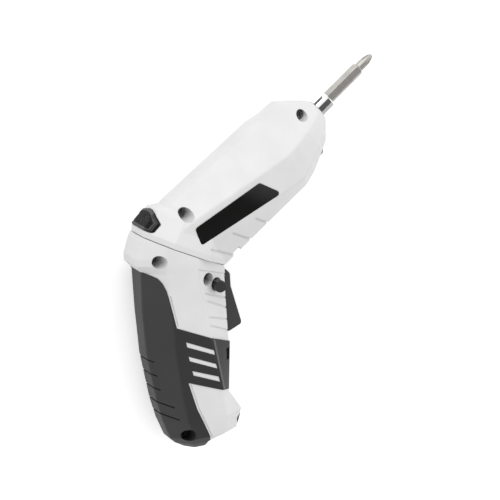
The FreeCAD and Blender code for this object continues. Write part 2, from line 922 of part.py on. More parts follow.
def battery_cells():
    cells = []
    for spot in cell_places():
        can = upright(cell_radius, spot, 0.0, cell_length)
        cap = upright(cell_cap_radius, spot, cell_length, cell_length + cell_cap_height)
        cells.append(can.fuse(cap))
    return placed(placed(Part.makeCompound(cells), pack_frame()), handle_frame)


def battery_straps():
    places = cell_places()
    top = cell_length + cell_cap_height
    straps = []
    for one, two, low in ((places[0], places[1], top), (places[1], places[2], -strap_thickness)):
        outline = strip(one, two, 2 * strap_half_width)
        corners = [Vector(x, low, z) for x, z in outline]
        face = Part.Face(Part.makePolygon(corners + corners[:1]))
        straps.append(face.extrude(Vector(0, strap_thickness, 0)))
    return placed(placed(Part.makeCompound(straps), pack_frame()), handle_frame)


def control_board():
    board = block(
        (board_front, board_low, -board_half_width),
        (board_front + board_thickness, board_high, board_half_width),
    )
    return placed(board, handle_frame)


# Drive of the tool

def outline_face(points, place):
    corners = [Vector(place, y, z) for y, z in points]
    return Part.Face(Part.makePolygon(corners + corners[:1]))


def tooth_points(count, tip, root, half_thick, start):
    pitch = gear_module * count / 2
    slope = math.tan(math.radians(flank_angle))
    points = []
    for number in range(count):
        centre = math.radians(start + 360.0 * number / count)
        for radius, side in ((pitch - root, -1), (pitch + tip, -1), (pitch + tip, 1), (pitch - root, 1)):
            angle = centre + side * (half_thick - (radius - pitch) * slope) / radius
            points.append((radius * math.cos(angle), radius * math.sin(angle)))
    return points


def spur_gear(count, start, rear, width):
    half_thick = (math.pi * gear_module / 2 - backlash) / 2
    outline = tooth_points(count, tooth_tip, tooth_root, half_thick, start)
    return outline_face(outline, rear).extrude(Vector(width, 0, 0))


def ring_hole(rear, width):
    half_thick = (math.pi * gear_module / 2 + backlash) / 2
    half_pitch = 180.0 / ring_teeth
    outline = tooth_points(ring_teeth, tooth_root, tooth_tip, half_thick, half_pitch)
    return outline_face(outline, rear).extrude(Vector(width, 0, 0))


centre_distance = gear_module * (sun_teeth + planet_teeth) / 2
carrier_two_front = gear_case_front - gear_case_wall - stage_gap
carrier_two_rear = carrier_two_front - carrier_width
planet_two_rear = carrier_two_rear - stage_gap - planet_width
carrier_one_front = planet_two_rear - stage_gap
carrier_one_rear = carrier_one_front - carrier_width
planet_one_rear = carrier_one_rear - stage_gap - planet_width
teeth_rear = planet_one_rear - stage_gap


def planet_spots():
    spots = []
    for number in range(planet_count):
        angle = 2 * math.pi * number / planet_count
        spots.append((centre_distance * math.cos(angle), centre_distance * math.sin(angle)))
    return spots


def planet_gear(number, rear):
    gear = spur_gear(planet_teeth, 180.0 / planet_teeth, rear, planet_width)
    gear = gear.cut(rod(planet_pin + running_fit, rear - overcut, rear + planet_width + overcut))
    gear.rotate(Vector(0, 0, 0), Vector(1, 0, 0), 360.0 * number / planet_count)
    spot = planet_spots()[number]
    gear.translate(Vector(0, spot[0], spot[1]))
    return gear


def carrier_plate(front, pin_rear):
    plate = rod(carrier_radius, front - carrier_width, front)
    pins = []
    for spot in planet_spots():
        pin = rod(planet_pin, pin_rear, front - carrier_width / 2)
        pin.translate(Vector(0, spot[0], spot[1]))
        pins.append(pin)
    return plate.multiFuse(pins)


def first_carrier():
    plate = carrier_plate(carrier_one_front, planet_one_rear)
    sun = spur_gear(sun_teeth, 0.0, carrier_one_rear, carrier_two_rear - stage_gap - carrier_one_rear)
    return plate.fuse(sun).removeSplitter()


def output_spindle():
    plate = carrier_plate(carrier_two_front, planet_two_rear)
    shaft = rod(spindle_radius, carrier_two_rear, spindle_front)
    return plate.fuse(shaft).removeSplitter()


def gear_case():
    case = rod(gear_case_radius, motor_front, gear_case_front)
    teeth = ring_hole(teeth_rear, gear_case_front - gear_case_wall - teeth_rear)
    bore = rod(gear_case_bore, motor_front, gear_case_front + overcut)
    mouth = rod(gear_module * ring_teeth / 2 + tooth_root, motor_front - overcut, teeth_rear)
    return case.cut([teeth, bore, mouth])


def motor_can():
    can = rod(motor_radius, motor_rear, motor_front)
    inside = rod(motor_radius - motor_wall, motor_rear - overcut, motor_front - motor_wall)
    hole = rod(shaft_radius + running_fit, motor_rear, motor_front + overcut)
    return can.cut([inside, hole])


def motor_end_cap():
    cap = rod(motor_radius, motor_rear - motor_cap, motor_rear)
    spigot = rod(motor_radius - motor_wall - seat_fit, motor_rear, motor_rear + cap_spigot)
    mouth = motor_rear + cap_spigot + overcut
    inside = rod(commutator_radius + brush_room, motor_rear - brush_recess, mouth)
    hole = rod(shaft_radius + running_fit, motor_rear - motor_cap - overcut, motor_rear)
    tabs = []
    for side in (-1, 1):
        centre = side * (motor_radius - terminal_size)
        tabs.append(block(
            (motor_rear - motor_cap - terminal_height, centre - terminal_size / 2, -terminal_thickness / 2),
            (motor_rear - motor_cap, centre + terminal_size / 2, terminal_thickness / 2),
        ))
    return cap.fuse(spigot).cut([inside, hole]).multiFuse(tabs).removeSplitter()


def motor_magnets():
    outer = motor_radius - motor_wall - seat_fit
    middle = (rotor_front + rotor_rear) / 2
    magnets = []
    for start in (90 - magnet_angle / 2, 270 - magnet_angle / 2):
        profile = [
            Vector(middle - magnet_length / 2, outer - magnet_thickness, 0),
            Vector(middle + magnet_length / 2, outer - magnet_thickness, 0),
            Vector(middle + magnet_length / 2, outer, 0),
            Vector(middle - magnet_length / 2, outer, 0),
        ]
        face = Part.Face(Part.makePolygon(profile + profile[:1]))
        face.rotate(Vector(0, 0, 0), Vector(1, 0, 0), start)
        magnets.append(face.revolve(Vector(0, 0, 0), Vector(1, 0, 0), magnet_angle))
    return Part.makeCompound(magnets)


def motor_rotor():
    core = rod(rotor_radius, rotor_rear, rotor_front)
    slots = []
    for number in range(rotor_slots):
        slot = block(
            (rotor_rear, rotor_core, -rotor_slot / 2),
            (rotor_front, rotor_radius + overcut, rotor_slot / 2),
        )
        slot.rotate(Vector(0, 0, 0), Vector(1, 0, 0), 360.0 * number / rotor_slots)
        slots.append(slot)
    shaft = rod(shaft_radius, shaft_rear, planet_one_rear + planet_width)
    commutator = rod(commutator_radius, motor_rear - commutator_end, rotor_rear)
    return joined([core.cut(slots), shaft, commutator])


def motor_pinion():
    gear = spur_gear(sun_teeth, 0.0, planet_one_rear, planet_width)
    return gear.cut(rod(shaft_radius, planet_one_rear - overcut, planet_one_rear + planet_width + overcut))


def spindle_bush():
    bush = rod(bush_radius, bush_rear, bush_front)
    return bush.cut(rod(journal_radius + running_fit, bush_rear - overcut, bush_front + overcut))


def hexagon(flats, start, end):
    points = []
    for number in range(6):
        angle = math.radians(60 * number + bit_turn)
        points.append((flats / math.sqrt(3) * math.cos(angle), flats / math.sqrt(3) * math.sin(angle)))
    return outline_face(points, start).extrude(Vector(end - start, 0, 0))


def bit_holder():
    body = turned([
        (journal_end, 0),
        (journal_end, journal_radius),
        (-holder_collar, journal_radius),
        (-holder_collar, holder_radius - holder_step),
        (nose_face + free_gap, holder_radius - holder_step),
        (nose_face + free_gap, holder_radius),
        (-holder_chamfer, holder_radius),
        (0, holder_radius - holder_chamfer),
        (0, 0),
    ], Vector(1, 0, 0))
    socket = hexagon(bit_flats + 2 * bit_fit, -bit_depth, overcut)
    pocket = rod(magnet_radius + seat_fit, -bit_depth - magnet_height, 0.0)
    shaft_hole = rod(spindle_radius + seat_fit, journal_end - overcut, spindle_front)
    groove = rod(holder_radius, journal_end + stage_gap, journal_end + stage_gap + clip_width)
    groove = groove.cut(rod(journal_radius - clip_depth, journal_end, 0.0))
    return body.cut([socket, pocket, shaft_hole, groove])


def retaining_clip():
    start = journal_end + stage_gap
    clip = rod(clip_radius, start, start + clip_width)
    return clip.cut(rod(journal_radius - clip_depth, start - overcut, start + clip_width + overcut))


def bit_magnet():
    return rod(magnet_radius, -bit_depth - magnet_height, -bit_depth)


def screwdriver_bit():
    body = hexagon(bit_flats, -bit_depth, bit_hex_end)
    corner = bit_flats / math.sqrt(3)
    chamfer = turned([
        (-bit_depth, 0),
        (-bit_depth, corner - holder_chamfer),
        (-bit_depth + holder_chamfer, corner),
        (bit_hex_end - corner + bit_neck, corner),
        (bit_hex_end, bit_neck),
        (bit_hex_end, 0),
    ], Vector(1, 0, 0))
    neck = turned([
        (bit_hex_end - overcut, 0),
        (bit_hex_end - overcut, bit_neck),
        *bit_profile,
        (bit_tip, 0),
    ], Vector(1, 0, 0))
    flutes = []
    for number in range(flute_count):
        points = [
            Vector(bit_tip + flute_core, flute_core, 0),
            Vector(bit_tip + flute_core, wide, 0),
            Vector(flute_start, wide, 0),
            Vector(flute_start, bit_neck + running_fit, 0),
        ]
        face = Part.Face(Part.makePolygon(points + points[:1]))
        face.translate(Vector(0, 0, -flute_width / 2))
        flute = face.extrude(Vector(0, 0, flute_width))
        flute.rotate(Vector(0, 0, 0), Vector(1, 0, 0), 360.0 * number / flute_count + flute_turn)
        flutes.append(flute)
    return body.common(chamfer).fuse(neck.cut(flutes)).removeSplitter()


def head_screws():
    return Part.makeCompound([screw_at(place, screw_seat) for place in head_screw_places])


def handle_screws():
    screws = [screw_at(place, screw_seat) for place in handle_screw_places + [grip_screw_place]]
    return placed(Part.makeCompound(screws), handle_frame)


# Writing the pieces

base_head = head_half()
right_cuts = [label_pocket()] + screw_holes(head_screw_places[:1], True, nose_recess_radius)
right_cuts += screw_holes(head_screw_places[1:], True)
save("head_shell_right", base_head.cut(right_cuts))
save("head_shell_left", left_of(base_head).cut(screw_holes(head_screw_places, False)))
save("label_plate", label_plate())
save("head_screws", head_screws())
save("lock_button", lock_button())
save("lock_spring", lock_spring())
save("work_light_lens", work_light_lens())
save("work_light_diode", work_light_diode())

base_handle = handle_half()
right_holes = screw_holes(handle_screw_places, True)
right_holes += screw_holes([grip_screw_place], True, recess_radius + grip_liner)
right_handle = base_handle.cut(right_holes)
left_handle = left_of(base_handle).cut(screw_holes(handle_screw_places + [grip_screw_place], False))
save("handle_shell_right", placed(right_handle, handle_frame))
save("handle_shell_left", placed(left_handle, handle_frame))
base_grip = grip_half()
save("grip_right", placed(lined_grip(base_grip), handle_frame))
save("grip_left", placed(left_of(base_grip), handle_frame))
save("index_ring", index_ring())
save("handle_screws", handle_screws())
save("trigger", trigger())
save("trigger_pin", trigger_pin())
save("trigger_spring", trigger_spring())
save("trigger_switch", trigger_switch())
save("direction_selector", direction_selector())
save("battery_cells", battery_cells())
save("battery_straps", battery_straps())
save("control_board", control_board())
save("charging_jack", placed(charging_jack(), handle_frame))
save("charge_light", placed(charge_light(), handle_frame))

save("motor_can", motor_can())
save("motor_end_cap", motor_end_cap())
save("motor_magnets", motor_magnets())
save("motor_rotor", motor_rotor())
save("motor_pinion", motor_pinion())
save("gear_case", gear_case())
for number in range(planet_count):
    save("first_planet_" + str(number + 1), planet_gear(number, planet_one_rear))
    save("second_planet_" + str(number + 1), planet_gear(number, planet_two_rear))
save("first_carrier", first_carrier())
save("output_spindle", output_spindle())
save("spindle_bush", spindle_bush())
save("bit_holder", bit_holder())
save("retaining_clip", retaining_clip())
save("bit_magnet", bit_magnet())
save("screwdriver_bit", screwdriver_bit())
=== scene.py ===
"""Looks of a folding cordless screwdriver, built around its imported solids."""

import logging
import math
from dataclasses import dataclass, field
from enum import Enum
from functools import lru_cache
from typing import Callable, Dict, List, Optional, Tuple, Union

import bmesh
import bpy
from mathutils import Matrix, Vector


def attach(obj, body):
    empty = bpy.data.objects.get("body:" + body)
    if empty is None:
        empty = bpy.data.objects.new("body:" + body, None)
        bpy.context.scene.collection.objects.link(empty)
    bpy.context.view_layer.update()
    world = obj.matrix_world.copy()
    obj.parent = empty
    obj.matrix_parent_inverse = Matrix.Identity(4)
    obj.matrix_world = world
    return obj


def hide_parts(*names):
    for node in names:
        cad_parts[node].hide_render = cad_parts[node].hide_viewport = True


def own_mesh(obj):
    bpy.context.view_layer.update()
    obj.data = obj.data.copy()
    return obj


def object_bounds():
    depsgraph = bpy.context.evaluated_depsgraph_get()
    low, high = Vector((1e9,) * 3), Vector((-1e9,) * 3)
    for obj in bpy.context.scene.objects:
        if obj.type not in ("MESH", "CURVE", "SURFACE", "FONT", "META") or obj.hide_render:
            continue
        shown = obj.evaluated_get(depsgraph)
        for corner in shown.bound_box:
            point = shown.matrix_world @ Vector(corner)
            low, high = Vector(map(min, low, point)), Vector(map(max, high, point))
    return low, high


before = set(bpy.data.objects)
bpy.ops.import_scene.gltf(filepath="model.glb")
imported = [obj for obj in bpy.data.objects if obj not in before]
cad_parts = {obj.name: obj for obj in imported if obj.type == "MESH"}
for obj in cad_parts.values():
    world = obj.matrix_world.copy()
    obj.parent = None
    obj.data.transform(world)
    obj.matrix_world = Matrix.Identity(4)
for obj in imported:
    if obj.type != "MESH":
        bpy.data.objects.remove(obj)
CAD_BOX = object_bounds()

LOG = logging.getLogger("screwdriver")
MM = 0.001
SAME_SPOT = 0.001 * MM
SAME_PLANE = math.radians(0.5)
HEX_SIDES = 6
END_ON = 0.9
SIDE_ON = 0.1
BEVEL_SAMPLES = 4
SHADE_SAMPLES = 6
EDGE_SPAN = (0.01, 0.12)
HOLLOW_SPAN = (0.25, 0.85)
PLAIN_DETAIL = 2.0
CLOUD_DETAIL = 3.0
SMUDGE_DETAIL = 4.0
SMEAR_DETAIL = 5.0

Colour = Tuple[float, float, float]
Point = Tuple[float, float, float]
Flat = Tuple[float, float]
Profile = Tuple[Flat, ...]
Options = Optional[dict]
Operand = Union["Signal", float, int]
Piece = bpy.types.Object
Material = bpy.types.Material
Test = Callable[..., bool]


def grey(level: float) -> Colour:
    """Returns a grey of one level."""
    return (level, level, level)


def millimetres(*points: Flat) -> Profile:
    """Returns points given in millimetres, in metres."""
    return tuple((first * MM, second * MM) for first, second in points)


class Signal:
    """One output of a shader graph, with Python's own operators."""

    def __init__(self, graph: "Graph", socket: bpy.types.NodeSocket) -> None:
        """Keeps the graph and the output socket."""
        self.graph = graph
        self.socket = socket

    def pair(self, operation: str, left: Operand, right: Operand) -> "Signal":
        """Returns the result of one Math node with this operation."""
        return self.graph.node("Math", {"operation": operation}, {0: left, 1: right})

    def __add__(self, other: Operand) -> "Signal":
        """Returns the sum."""
        return self.pair("ADD", self, other)

    def __radd__(self, other: Operand) -> "Signal":
        """Returns the sum, with the number first."""
        return self.pair("ADD", other, self)

    def __sub__(self, other: Operand) -> "Signal":
        """Returns the difference."""
        return self.pair("SUBTRACT", self, other)

    def __rsub__(self, other: Operand) -> "Signal":
        """Returns the difference, with the number first."""
        return self.pair("SUBTRACT", other, self)

    def __mul__(self, other: Operand) -> "Signal":
        """Returns the product."""
        return self.pair("MULTIPLY", self, other)

    def __rmul__(self, other: Operand) -> "Signal":
        """Returns the product, with the number first."""
        return self.pair("MULTIPLY", other, self)

    def most(self, other: Operand) -> "Signal":
        """Returns the larger of two values."""
        return self.pair("MAXIMUM", self, other)

    def ramp(self, low: float, high: float) -> "Signal":
        """Returns a soft step from 0 at low to 1 at high."""
        settings = {"interpolation_type": "SMOOTHSTEP"}
        return self.graph.node("MapRange", settings, {0: self, 1: low, 2: high})


class Graph:
    """A node tree of a material or of the room."""

    def __init__(self, owner: Union[Material, bpy.types.World]) -> None:
        """Empties the owner's node tree.

        Args:
            owner: Material or room that the tree belongs to.
        """
        owner.use_nodes = True
        self.owner = owner
        self.tree = owner.node_tree
        self.tree.nodes.clear()

    def node(
        self, kind: str, settings: Options = None, sockets: Options = None, out: Union[int, str] = 0
    ) -> Signal:
        """Adds a node.

        Args:
            kind: Type of the node, without its prefix.
            settings: Properties of the node, set first.
            sockets: Values or signals by socket name or number.
            out: Output to return.

        Returns:
            The chosen output.
        """
        made = self.tree.nodes.new("ShaderNode" + kind)
        for name, value in (settings or {}).items():
            setattr(made, name, value)
        for name, value in (sockets or {}).items():
            if isinstance(value, Signal):
                self.tree.links.new(value.socket, made.inputs[name])
            else:
                made.inputs[name].default_value = value
        return Signal(self, made.outputs[out]) if made.outputs else Signal(self, made.inputs[0])

    def place(self) -> Signal:
        """Returns the place on the object, in metres."""
        return self.node("TexCoord", out="Object")

    def stretched(self, scale: Point, turn: Point = (0.0, 0.0, 0.0)) -> Signal:
        """Returns the place turned and scaled along each axis."""
        return self.node("Mapping", {}, {"Vector": self.place(), "Rotation": turn, "Scale": scale})

    def along(self, axis: Point) -> Signal:
        """Returns how far the place lies along an axis, in metres."""
        sockets = {0: self.place(), 1: axis}
        return self.node("VectorMath", {"operation": "DOT_PRODUCT"}, sockets, out="Value")

    def noise(self, size: float, detail: float, at: Optional[Signal] = None) -> Signal:
        """Returns noise from 0 to 1 with clouds of a size in metres and finer layers on top."""
        sockets = {"Vector": at or self.place(), "Scale": 1.0 / size, "Detail": detail}
        return self.node("TexNoise", {}, sockets)

    def pebbles(self, size: float) -> Signal:
        """Returns the height of close pebbles of one size in metres."""
        sockets = {"Vector": self.place(), "Scale": 1.0 / size}
        return 1.0 - self.node("TexVoronoi", {"feature": "SMOOTH_F1"}, sockets, out="Distance")

    def mix(self, share: Operand, first: Union[Signal, Colour], second: Union[Signal, Colour]) -> Signal:
        """Mixes two colours.

        Args:
            share: Share of the second colour.
            first: First colour.
            second: Second colour.

        Returns:
            The mixed colour.
        """
        one = first if isinstance(first, Signal) else (*first, 1.0)
        two = second if isinstance(second, Signal) else (*second, 1.0)
        return self.node("Mix", {"data_type": "RGBA"}, {0: share, 6: one, 7: two}, out=2)

    def rounded(self, radius: float) -> Signal:
        """Returns the normal with sharp edges rounded to a radius in metres."""
        return self.node("Bevel", {"samples": BEVEL_SAMPLES}, {"Radius": radius})

    def edges(self, radius: float) -> Signal:
        """Finds sharp edges.

        Args:
            radius: How far an edge reaches, in metres.

        Returns:
            1 on sharp edges and 0 on flat stretches.
        """
        sockets = {0: self.rounded(radius), 1: self.node("NewGeometry", out="Normal")}
        cosine = self.node("VectorMath", {"operation": "DOT_PRODUCT"}, sockets, out="Value")
        return (1.0 - cosine).ramp(*EDGE_SPAN)

    def hollows(self, reach: float) -> Signal:
        """Finds narrow hollows.

        Args:
            reach: How far to look for walls, in metres.

        Returns:
            1 in narrow hollows and 0 in the open.
        """
        settings = {"samples": SHADE_SAMPLES}
        open_share = self.node("AmbientOcclusion", settings, {"Distance": reach}, out="AO")
        return (1.0 - open_share).ramp(*HOLLOW_SPAN)

    def bump(self, height: Signal, depth: float, soft: float = 0.0) -> Signal:
        """Turns a height into a normal.

        Args:
            height: Height from 0 to 1.
            depth: Height of 1 in metres.
            soft: Radius in metres to which sharp edges look rounded.

        Returns:
            The normal.
        """
        sockets = {"Height": height, "Strength": 1.0, "Distance": depth}
        if soft > 0.0:
            sockets["Normal"] = self.rounded(soft)
        return self.node("Bump", {}, sockets)

    def seen(self) -> Signal:
        """Finds the rays that show the scene.

        Returns:
            1 for rays from the camera, a mirror or a lens.
        """
        names = ("Is Camera Ray", "Is Glossy Ray", "Is Transmission Ray")
        eye, mirror, lens = (self.node("LightPath", out=name) for name in names)
        return eye.most(mirror).most(lens)

    def surface(self, sockets: dict) -> Material:
        """Closes the graph with one surface and returns the finished material."""
        self.close("OutputMaterial", self.node("BsdfPrincipled", {}, sockets))
        return self.owner

    def close(self, kind: str, shader: Signal) -> None:
        """Links a shader to an output node of that kind."""
        self.node(kind, {}, {"Surface": shader})


def new_graph(name: str) -> Graph:
    """Returns the empty graph of a new material."""
    return Graph(bpy.data.materials.new(name))


@dataclass(frozen=True)
class Moulded:
    """Injection-moulded plastic or rubber with a fine spark grain."""

    name: str
    colour: Colour
    # Colour of sharp edges, partly wear and partly a painted highlight.
    wear_and_highlight: Colour
    # Painted shade colour for narrow hollows.
    hollow_shade: Colour
    roughness: float
    grain: float
    grain_depth: float
    specular: float = 0.5
    soft: float = 0.25 * MM
    cloud: float = 18 * MM
    cloud_span: Flat = (0.3, 0.75)
    cloud_shade: float = 0.95
    cloud_gloss: float = 0.1
    # Reach, span and share of the edge colour, which is partly wear and partly a painted highlight.
    wear_and_highlight_reach: float = 0.5 * MM
    wear_and_highlight_span: Flat = (0.25, 0.8)
    wear_and_highlight_share: float = 0.6
    wear_gloss: float = 0.08
    # Reach and share of the painted shade in hollows.
    shade_reach: float = 3 * MM
    shade_share: float = 0.7
    grain_gloss: float = 0.12
    pit_size: float = 4.0
    pit_share: float = 0.6

    def material(self) -> Material:
        """Builds the material: cloudy tint, sharp edges lightened partly as wear and partly as a painted
        highlight, painted shade in hollows, and grain.

        Returns:
            The material.
        """
        graph = new_graph(self.name)
        clouds = graph.noise(self.cloud, CLOUD_DETAIL)
        speckle = graph.noise(self.grain, PLAIN_DETAIL)
        pits = graph.noise(self.pit_size * self.grain, CLOUD_DETAIL)
        edge = graph.edges(self.wear_and_highlight_reach)
        hollow = graph.hollows(self.shade_reach)
        shade = tuple(self.cloud_shade * value for value in self.colour)
        tint = graph.mix(clouds.ramp(*self.cloud_span), self.colour, shade)
        # Sharp edges lightened, partly as wear and partly as a painted highlight.
        tint = graph.mix(edge * clouds.ramp(*self.wear_and_highlight_span) * self.wear_and_highlight_share, tint, self.wear_and_highlight)
        # Painted shade: narrow hollows darkened by ambient occlusion.
        tint = graph.mix(hollow * self.shade_share, tint, self.hollow_shade)
        roughness = self.roughness + self.grain_gloss * (speckle - 0.5)
        roughness = roughness + self.cloud_gloss * (clouds - 0.5) - self.wear_gloss * edge
        return graph.surface({
            "Base Color": tint,
            "Roughness": roughness,
            "Specular IOR Level": self.specular,
            "Normal": graph.bump(speckle + self.pit_share * pits, self.grain_depth, self.soft),
        })


@dataclass(frozen=True)
class Pebbled:
    """Dark grip plastic with pressed pebbles."""

    name: str
    colour: Colour
    rubbed: Colour
    roughness: float
    pebble: float
    depth: float
    specular: float
    top_span: Flat = (0.55, 0.95)
    gloss_span: Flat = (0.6, 1.0)
    top_gloss: float = 0.1
    rub: float = 0.7
    grain: float = 0.2 * MM
    grain_span: Flat = (0.3, 0.7)
    grain_gloss: float = 0.15
    grain_share: float = 0.2

    def material(self) -> Material:
        """Builds the material: pebbles with rubbed tops over a fine grain.

        Returns:
            The material.
        """
        graph = new_graph(self.name)
        pebbles = graph.pebbles(self.pebble)
        grain = graph.noise(self.grain, PLAIN_DETAIL)
        rubbed = pebbles.ramp(*self.top_span) * grain.ramp(*self.grain_span) * self.rub
        roughness = self.roughness + self.grain_gloss * (grain - 0.5)
        return graph.surface({
            "Base Color": graph.mix(rubbed, self.colour, self.rubbed),
            "Roughness": roughness - self.top_gloss * pebbles.ramp(*self.gloss_span),
            "Specular IOR Level": self.specular,
            "Normal": graph.bump(pebbles + self.grain_share * grain, self.depth),
        })


class Lay(Enum):
    """How the tool marks of a metal run."""

    TURNED = (9000.0, 60.0, 60.0)
    DRAWN = (60.0, 5200.0, 5200.0)
    ROLLED = (700.0, 700.0, 700.0)


@dataclass(frozen=True)
class Metal:
    """Bare or plated metal with its tool marks."""

    name: str
    colour: Colour
    dull: Colour
    roughness: float
    lay: Lay
    marks: float
    spread: float = 0.17
    smudge: float = 5 * MM
    smudge_span: Flat = (0.35, 0.8)
    smudge_share: float = 0.6
    edge_reach: float = 0.3 * MM
    glint_gain: float = 1.25
    edge_highlight_share: float = 0.7
    soft: float = 0.15 * MM

    def material(self) -> Material:
        """Builds the material: tool marks, smudges and a painted glint on edges.

        Returns:
            The material.
        """
        graph = new_graph(self.name)
        marks = graph.noise(1.0, SMUDGE_DETAIL, graph.stretched(self.lay.value))
        smudges = graph.noise(self.smudge, SMUDGE_DETAIL)
        edge = graph.edges(self.edge_reach)
        tint = graph.mix(smudges.ramp(*self.smudge_span) * self.smudge_share, self.colour, self.dull)
        # Edges painted brighter: a painted glint.
        edge_glint = tuple(min(1.0, self.glint_gain * value) for value in self.colour)
        tint = graph.mix(edge * self.edge_highlight_share, tint, edge_glint)
        return graph.surface({
            "Base Color": tint,
            "Metallic": 1.0,
            "Roughness": self.roughness + self.spread * (marks + smudges - 1.0),
            "Normal": graph.bump(marks, self.marks, self.soft),
        })


@dataclass(frozen=True)
class SmoothPlate:
    """Smooth dark plastic with hairline scratches and finger marks, with a painted reflection that grows
    towards one end.
    """

    name: str
    colour: Colour
    # Colour of a painted reflection, reached at the end of the axis.
    haze: Colour
    # Colour of a painted highlight on edges, also used for the lighter hairline scratches.
    highlight_and_scratch: Colour
    roughness: float
    axis: Point
    start: float
    end: float
    specular: float
    smear: float = 7 * MM
    smear_span: Flat = (0.4, 0.8)
    smear_middle: float = 0.2
    smear_gloss: float = 0.12
    hair_scale: Point = (140.0, 7000.0, 300.0)
    hair_turn: Point = (0.0, 0.0, 0.6)
    hair_span: Flat = (0.68, 0.76)
    hair_share: float = 0.12
    hair_gloss: float = 0.2
    hair_height: float = 0.3
    edge_reach: float = 0.5 * MM
    edge_highlight_share: float = 0.6
    # Base, smear share and gloss of the painted reflection.
    reflection_base: float = 0.7
    reflection_smear: float = 0.6
    reflection_gloss: float = 0.1
    relief: float = 0.004 * MM
    soft: float = 0.2 * MM

    def material(self) -> Material:
        """Builds the material: a painted reflection along its axis, smears, hairlines and a painted highlight
        on edges.

        Returns:
            The material.
        """
        graph = new_graph(self.name)
        smears = graph.noise(self.smear, SMEAR_DETAIL)
        hairs = graph.noise(1.0, PLAIN_DETAIL, graph.stretched(self.hair_scale, self.hair_turn))
        edge = graph.edges(self.edge_reach)
        line = hairs.ramp(*self.hair_span)
        # The haze mask is a painted reflection: lighter along the axis, broken up by the smears.
        uneven = self.reflection_base + self.reflection_smear * (smears - self.smear_middle)
        haze = graph.along(self.axis).ramp(self.start, self.end) * uneven
        tint = graph.mix(haze, self.colour, self.haze)
        # Edges lightened: a painted highlight.
        tint = graph.mix(edge * self.edge_highlight_share, tint, self.highlight_and_scratch)
        tint = graph.mix(line * self.hair_share, tint, self.highlight_and_scratch)
        roughness = self.roughness + self.smear_gloss * smears.ramp(*self.smear_span)
        return graph.surface({
            "Base Color": tint,
            "Roughness": roughness + self.hair_gloss * line + self.reflection_gloss * haze,
            "Specular IOR Level": self.specular,
            "Normal": graph.bump(smears + self.hair_height * hairs, self.relief, self.soft),
        })


@dataclass(frozen=True)
class ClearMoulding:
    """Tinted light-pipe plastic with a faint moulded haze."""

    name: str
    colour: Colour
    haze: Colour
    roughness: float
    clear: float
    bending: float = 1.49
    cloud: float = 1.2 * MM
    cloud_span: Flat = (0.3, 0.8)
    cloud_share: float = 0.5
    cloud_gloss: float = 0.1
    relief: float = 0.01 * MM
    soft: float = 0.2 * MM

    def material(self) -> Material:
        """Builds the material: haze inside and a slightly uneven skin.

        Returns:
            The material.
        """
        graph = new_graph(self.name)
        clouds = graph.noise(self.cloud, CLOUD_DETAIL)
        tint = graph.mix(clouds.ramp(*self.cloud_span) * self.cloud_share, self.colour, self.haze)
        return graph.surface({
            "Base Color": tint,
            "Roughness": self.roughness + self.cloud_gloss * clouds,
            "Transmission Weight": self.clear,
            "IOR": self.bending,
            "Normal": graph.bump(clouds, self.relief, self.soft),
        })


# In each Moulded finish the third colour lightens sharp edges, partly as wear and partly as a painted
# highlight, and the fourth is painted shade in hollows.
WHITE_SHELL = Moulded(
    "white_moulding", (0.80, 0.80, 0.798), grey(0.86), grey(0.78), 0.42, 0.22 * MM, 0.008 * MM, 0.4, 0.5 * MM
)
GRIP_RUBBER = Moulded(
    "grip_rubber", (0.027, 0.028, 0.027), (0.085, 0.085, 0.083), grey(0.010), 0.56, 0.35 * MM, 0.04 * MM,
    0.42, 0.4 * MM
)
# Light grey rib rubber: a painted highlight along the band's front corner.
RIB_HIGHLIGHT = Moulded(
    "rib_rubber", (0.14, 0.141, 0.14), (0.18, 0.18, 0.178), grey(0.05), 0.5, 0.35 * MM, 0.03 * MM
)
SMOOTH_KEY = Moulded(
    "smooth_key", grey(0.007), grey(0.035), grey(0.004), 0.34, 0.3 * MM, 0.01 * MM, 0.35, 0.2 * MM
)
KNOB = Moulded(
    "knob_plastic", grey(0.016), grey(0.06), grey(0.006), 0.3, 0.3 * MM, 0.01 * MM, 0.5, 0.2 * MM
)
PEBBLED_KEY = Pebbled("pebbled_key", grey(0.003), (0.03, 0.03, 0.028), 0.45, 1.1 * MM, 0.25 * MM, 0.1)
# Lighter key plastic: a painted highlight on the lock's ridge and on the selector's end faces.
KEY_HIGHLIGHT = Moulded(
    "key_ridge", (0.036, 0.036, 0.034), grey(0.08), grey(0.012), 0.4, 0.3 * MM, 0.01 * MM, 0.4, 0.2 * MM
)
DARK_TRIGGER = Moulded(
    "dark_trigger", (0.046, 0.047, 0.047), grey(0.09), grey(0.03), 0.5, 0.25 * MM, 0.015 * MM, 0.4
)
DARK_SOCKET = Moulded("dark_socket", grey(0.05), grey(0.09), grey(0.02), 0.5, 0.25 * MM, 0.02 * MM, 0.2)
NYLON = Moulded(
    "nylon", (0.62, 0.60, 0.53), (0.72, 0.70, 0.64), (0.4, 0.38, 0.33), 0.5, 0.3 * MM, 0.02 * MM
)
BOARD = Moulded(
    "board_laminate", (0.03, 0.16, 0.07), (0.10, 0.26, 0.14), (0.02, 0.08, 0.04), 0.35, 0.5 * MM, 0.02 * MM
)
CELL_WRAP = Moulded(
    "cell_wrap", (0.06, 0.20, 0.38), (0.16, 0.32, 0.5), (0.03, 0.10, 0.2), 0.32, 0.8 * MM, 0.01 * MM
)
POTTED_CHIP = Moulded(
    "potted_chip", (0.74, 0.68, 0.35), (0.8, 0.76, 0.5), (0.5, 0.45, 0.25), 0.3, 0.2 * MM, 0.01 * MM
)
FERRITE = Moulded("ferrite", (0.06, 0.06, 0.065), grey(0.12), grey(0.03), 0.6, 0.2 * MM, 0.03 * MM)
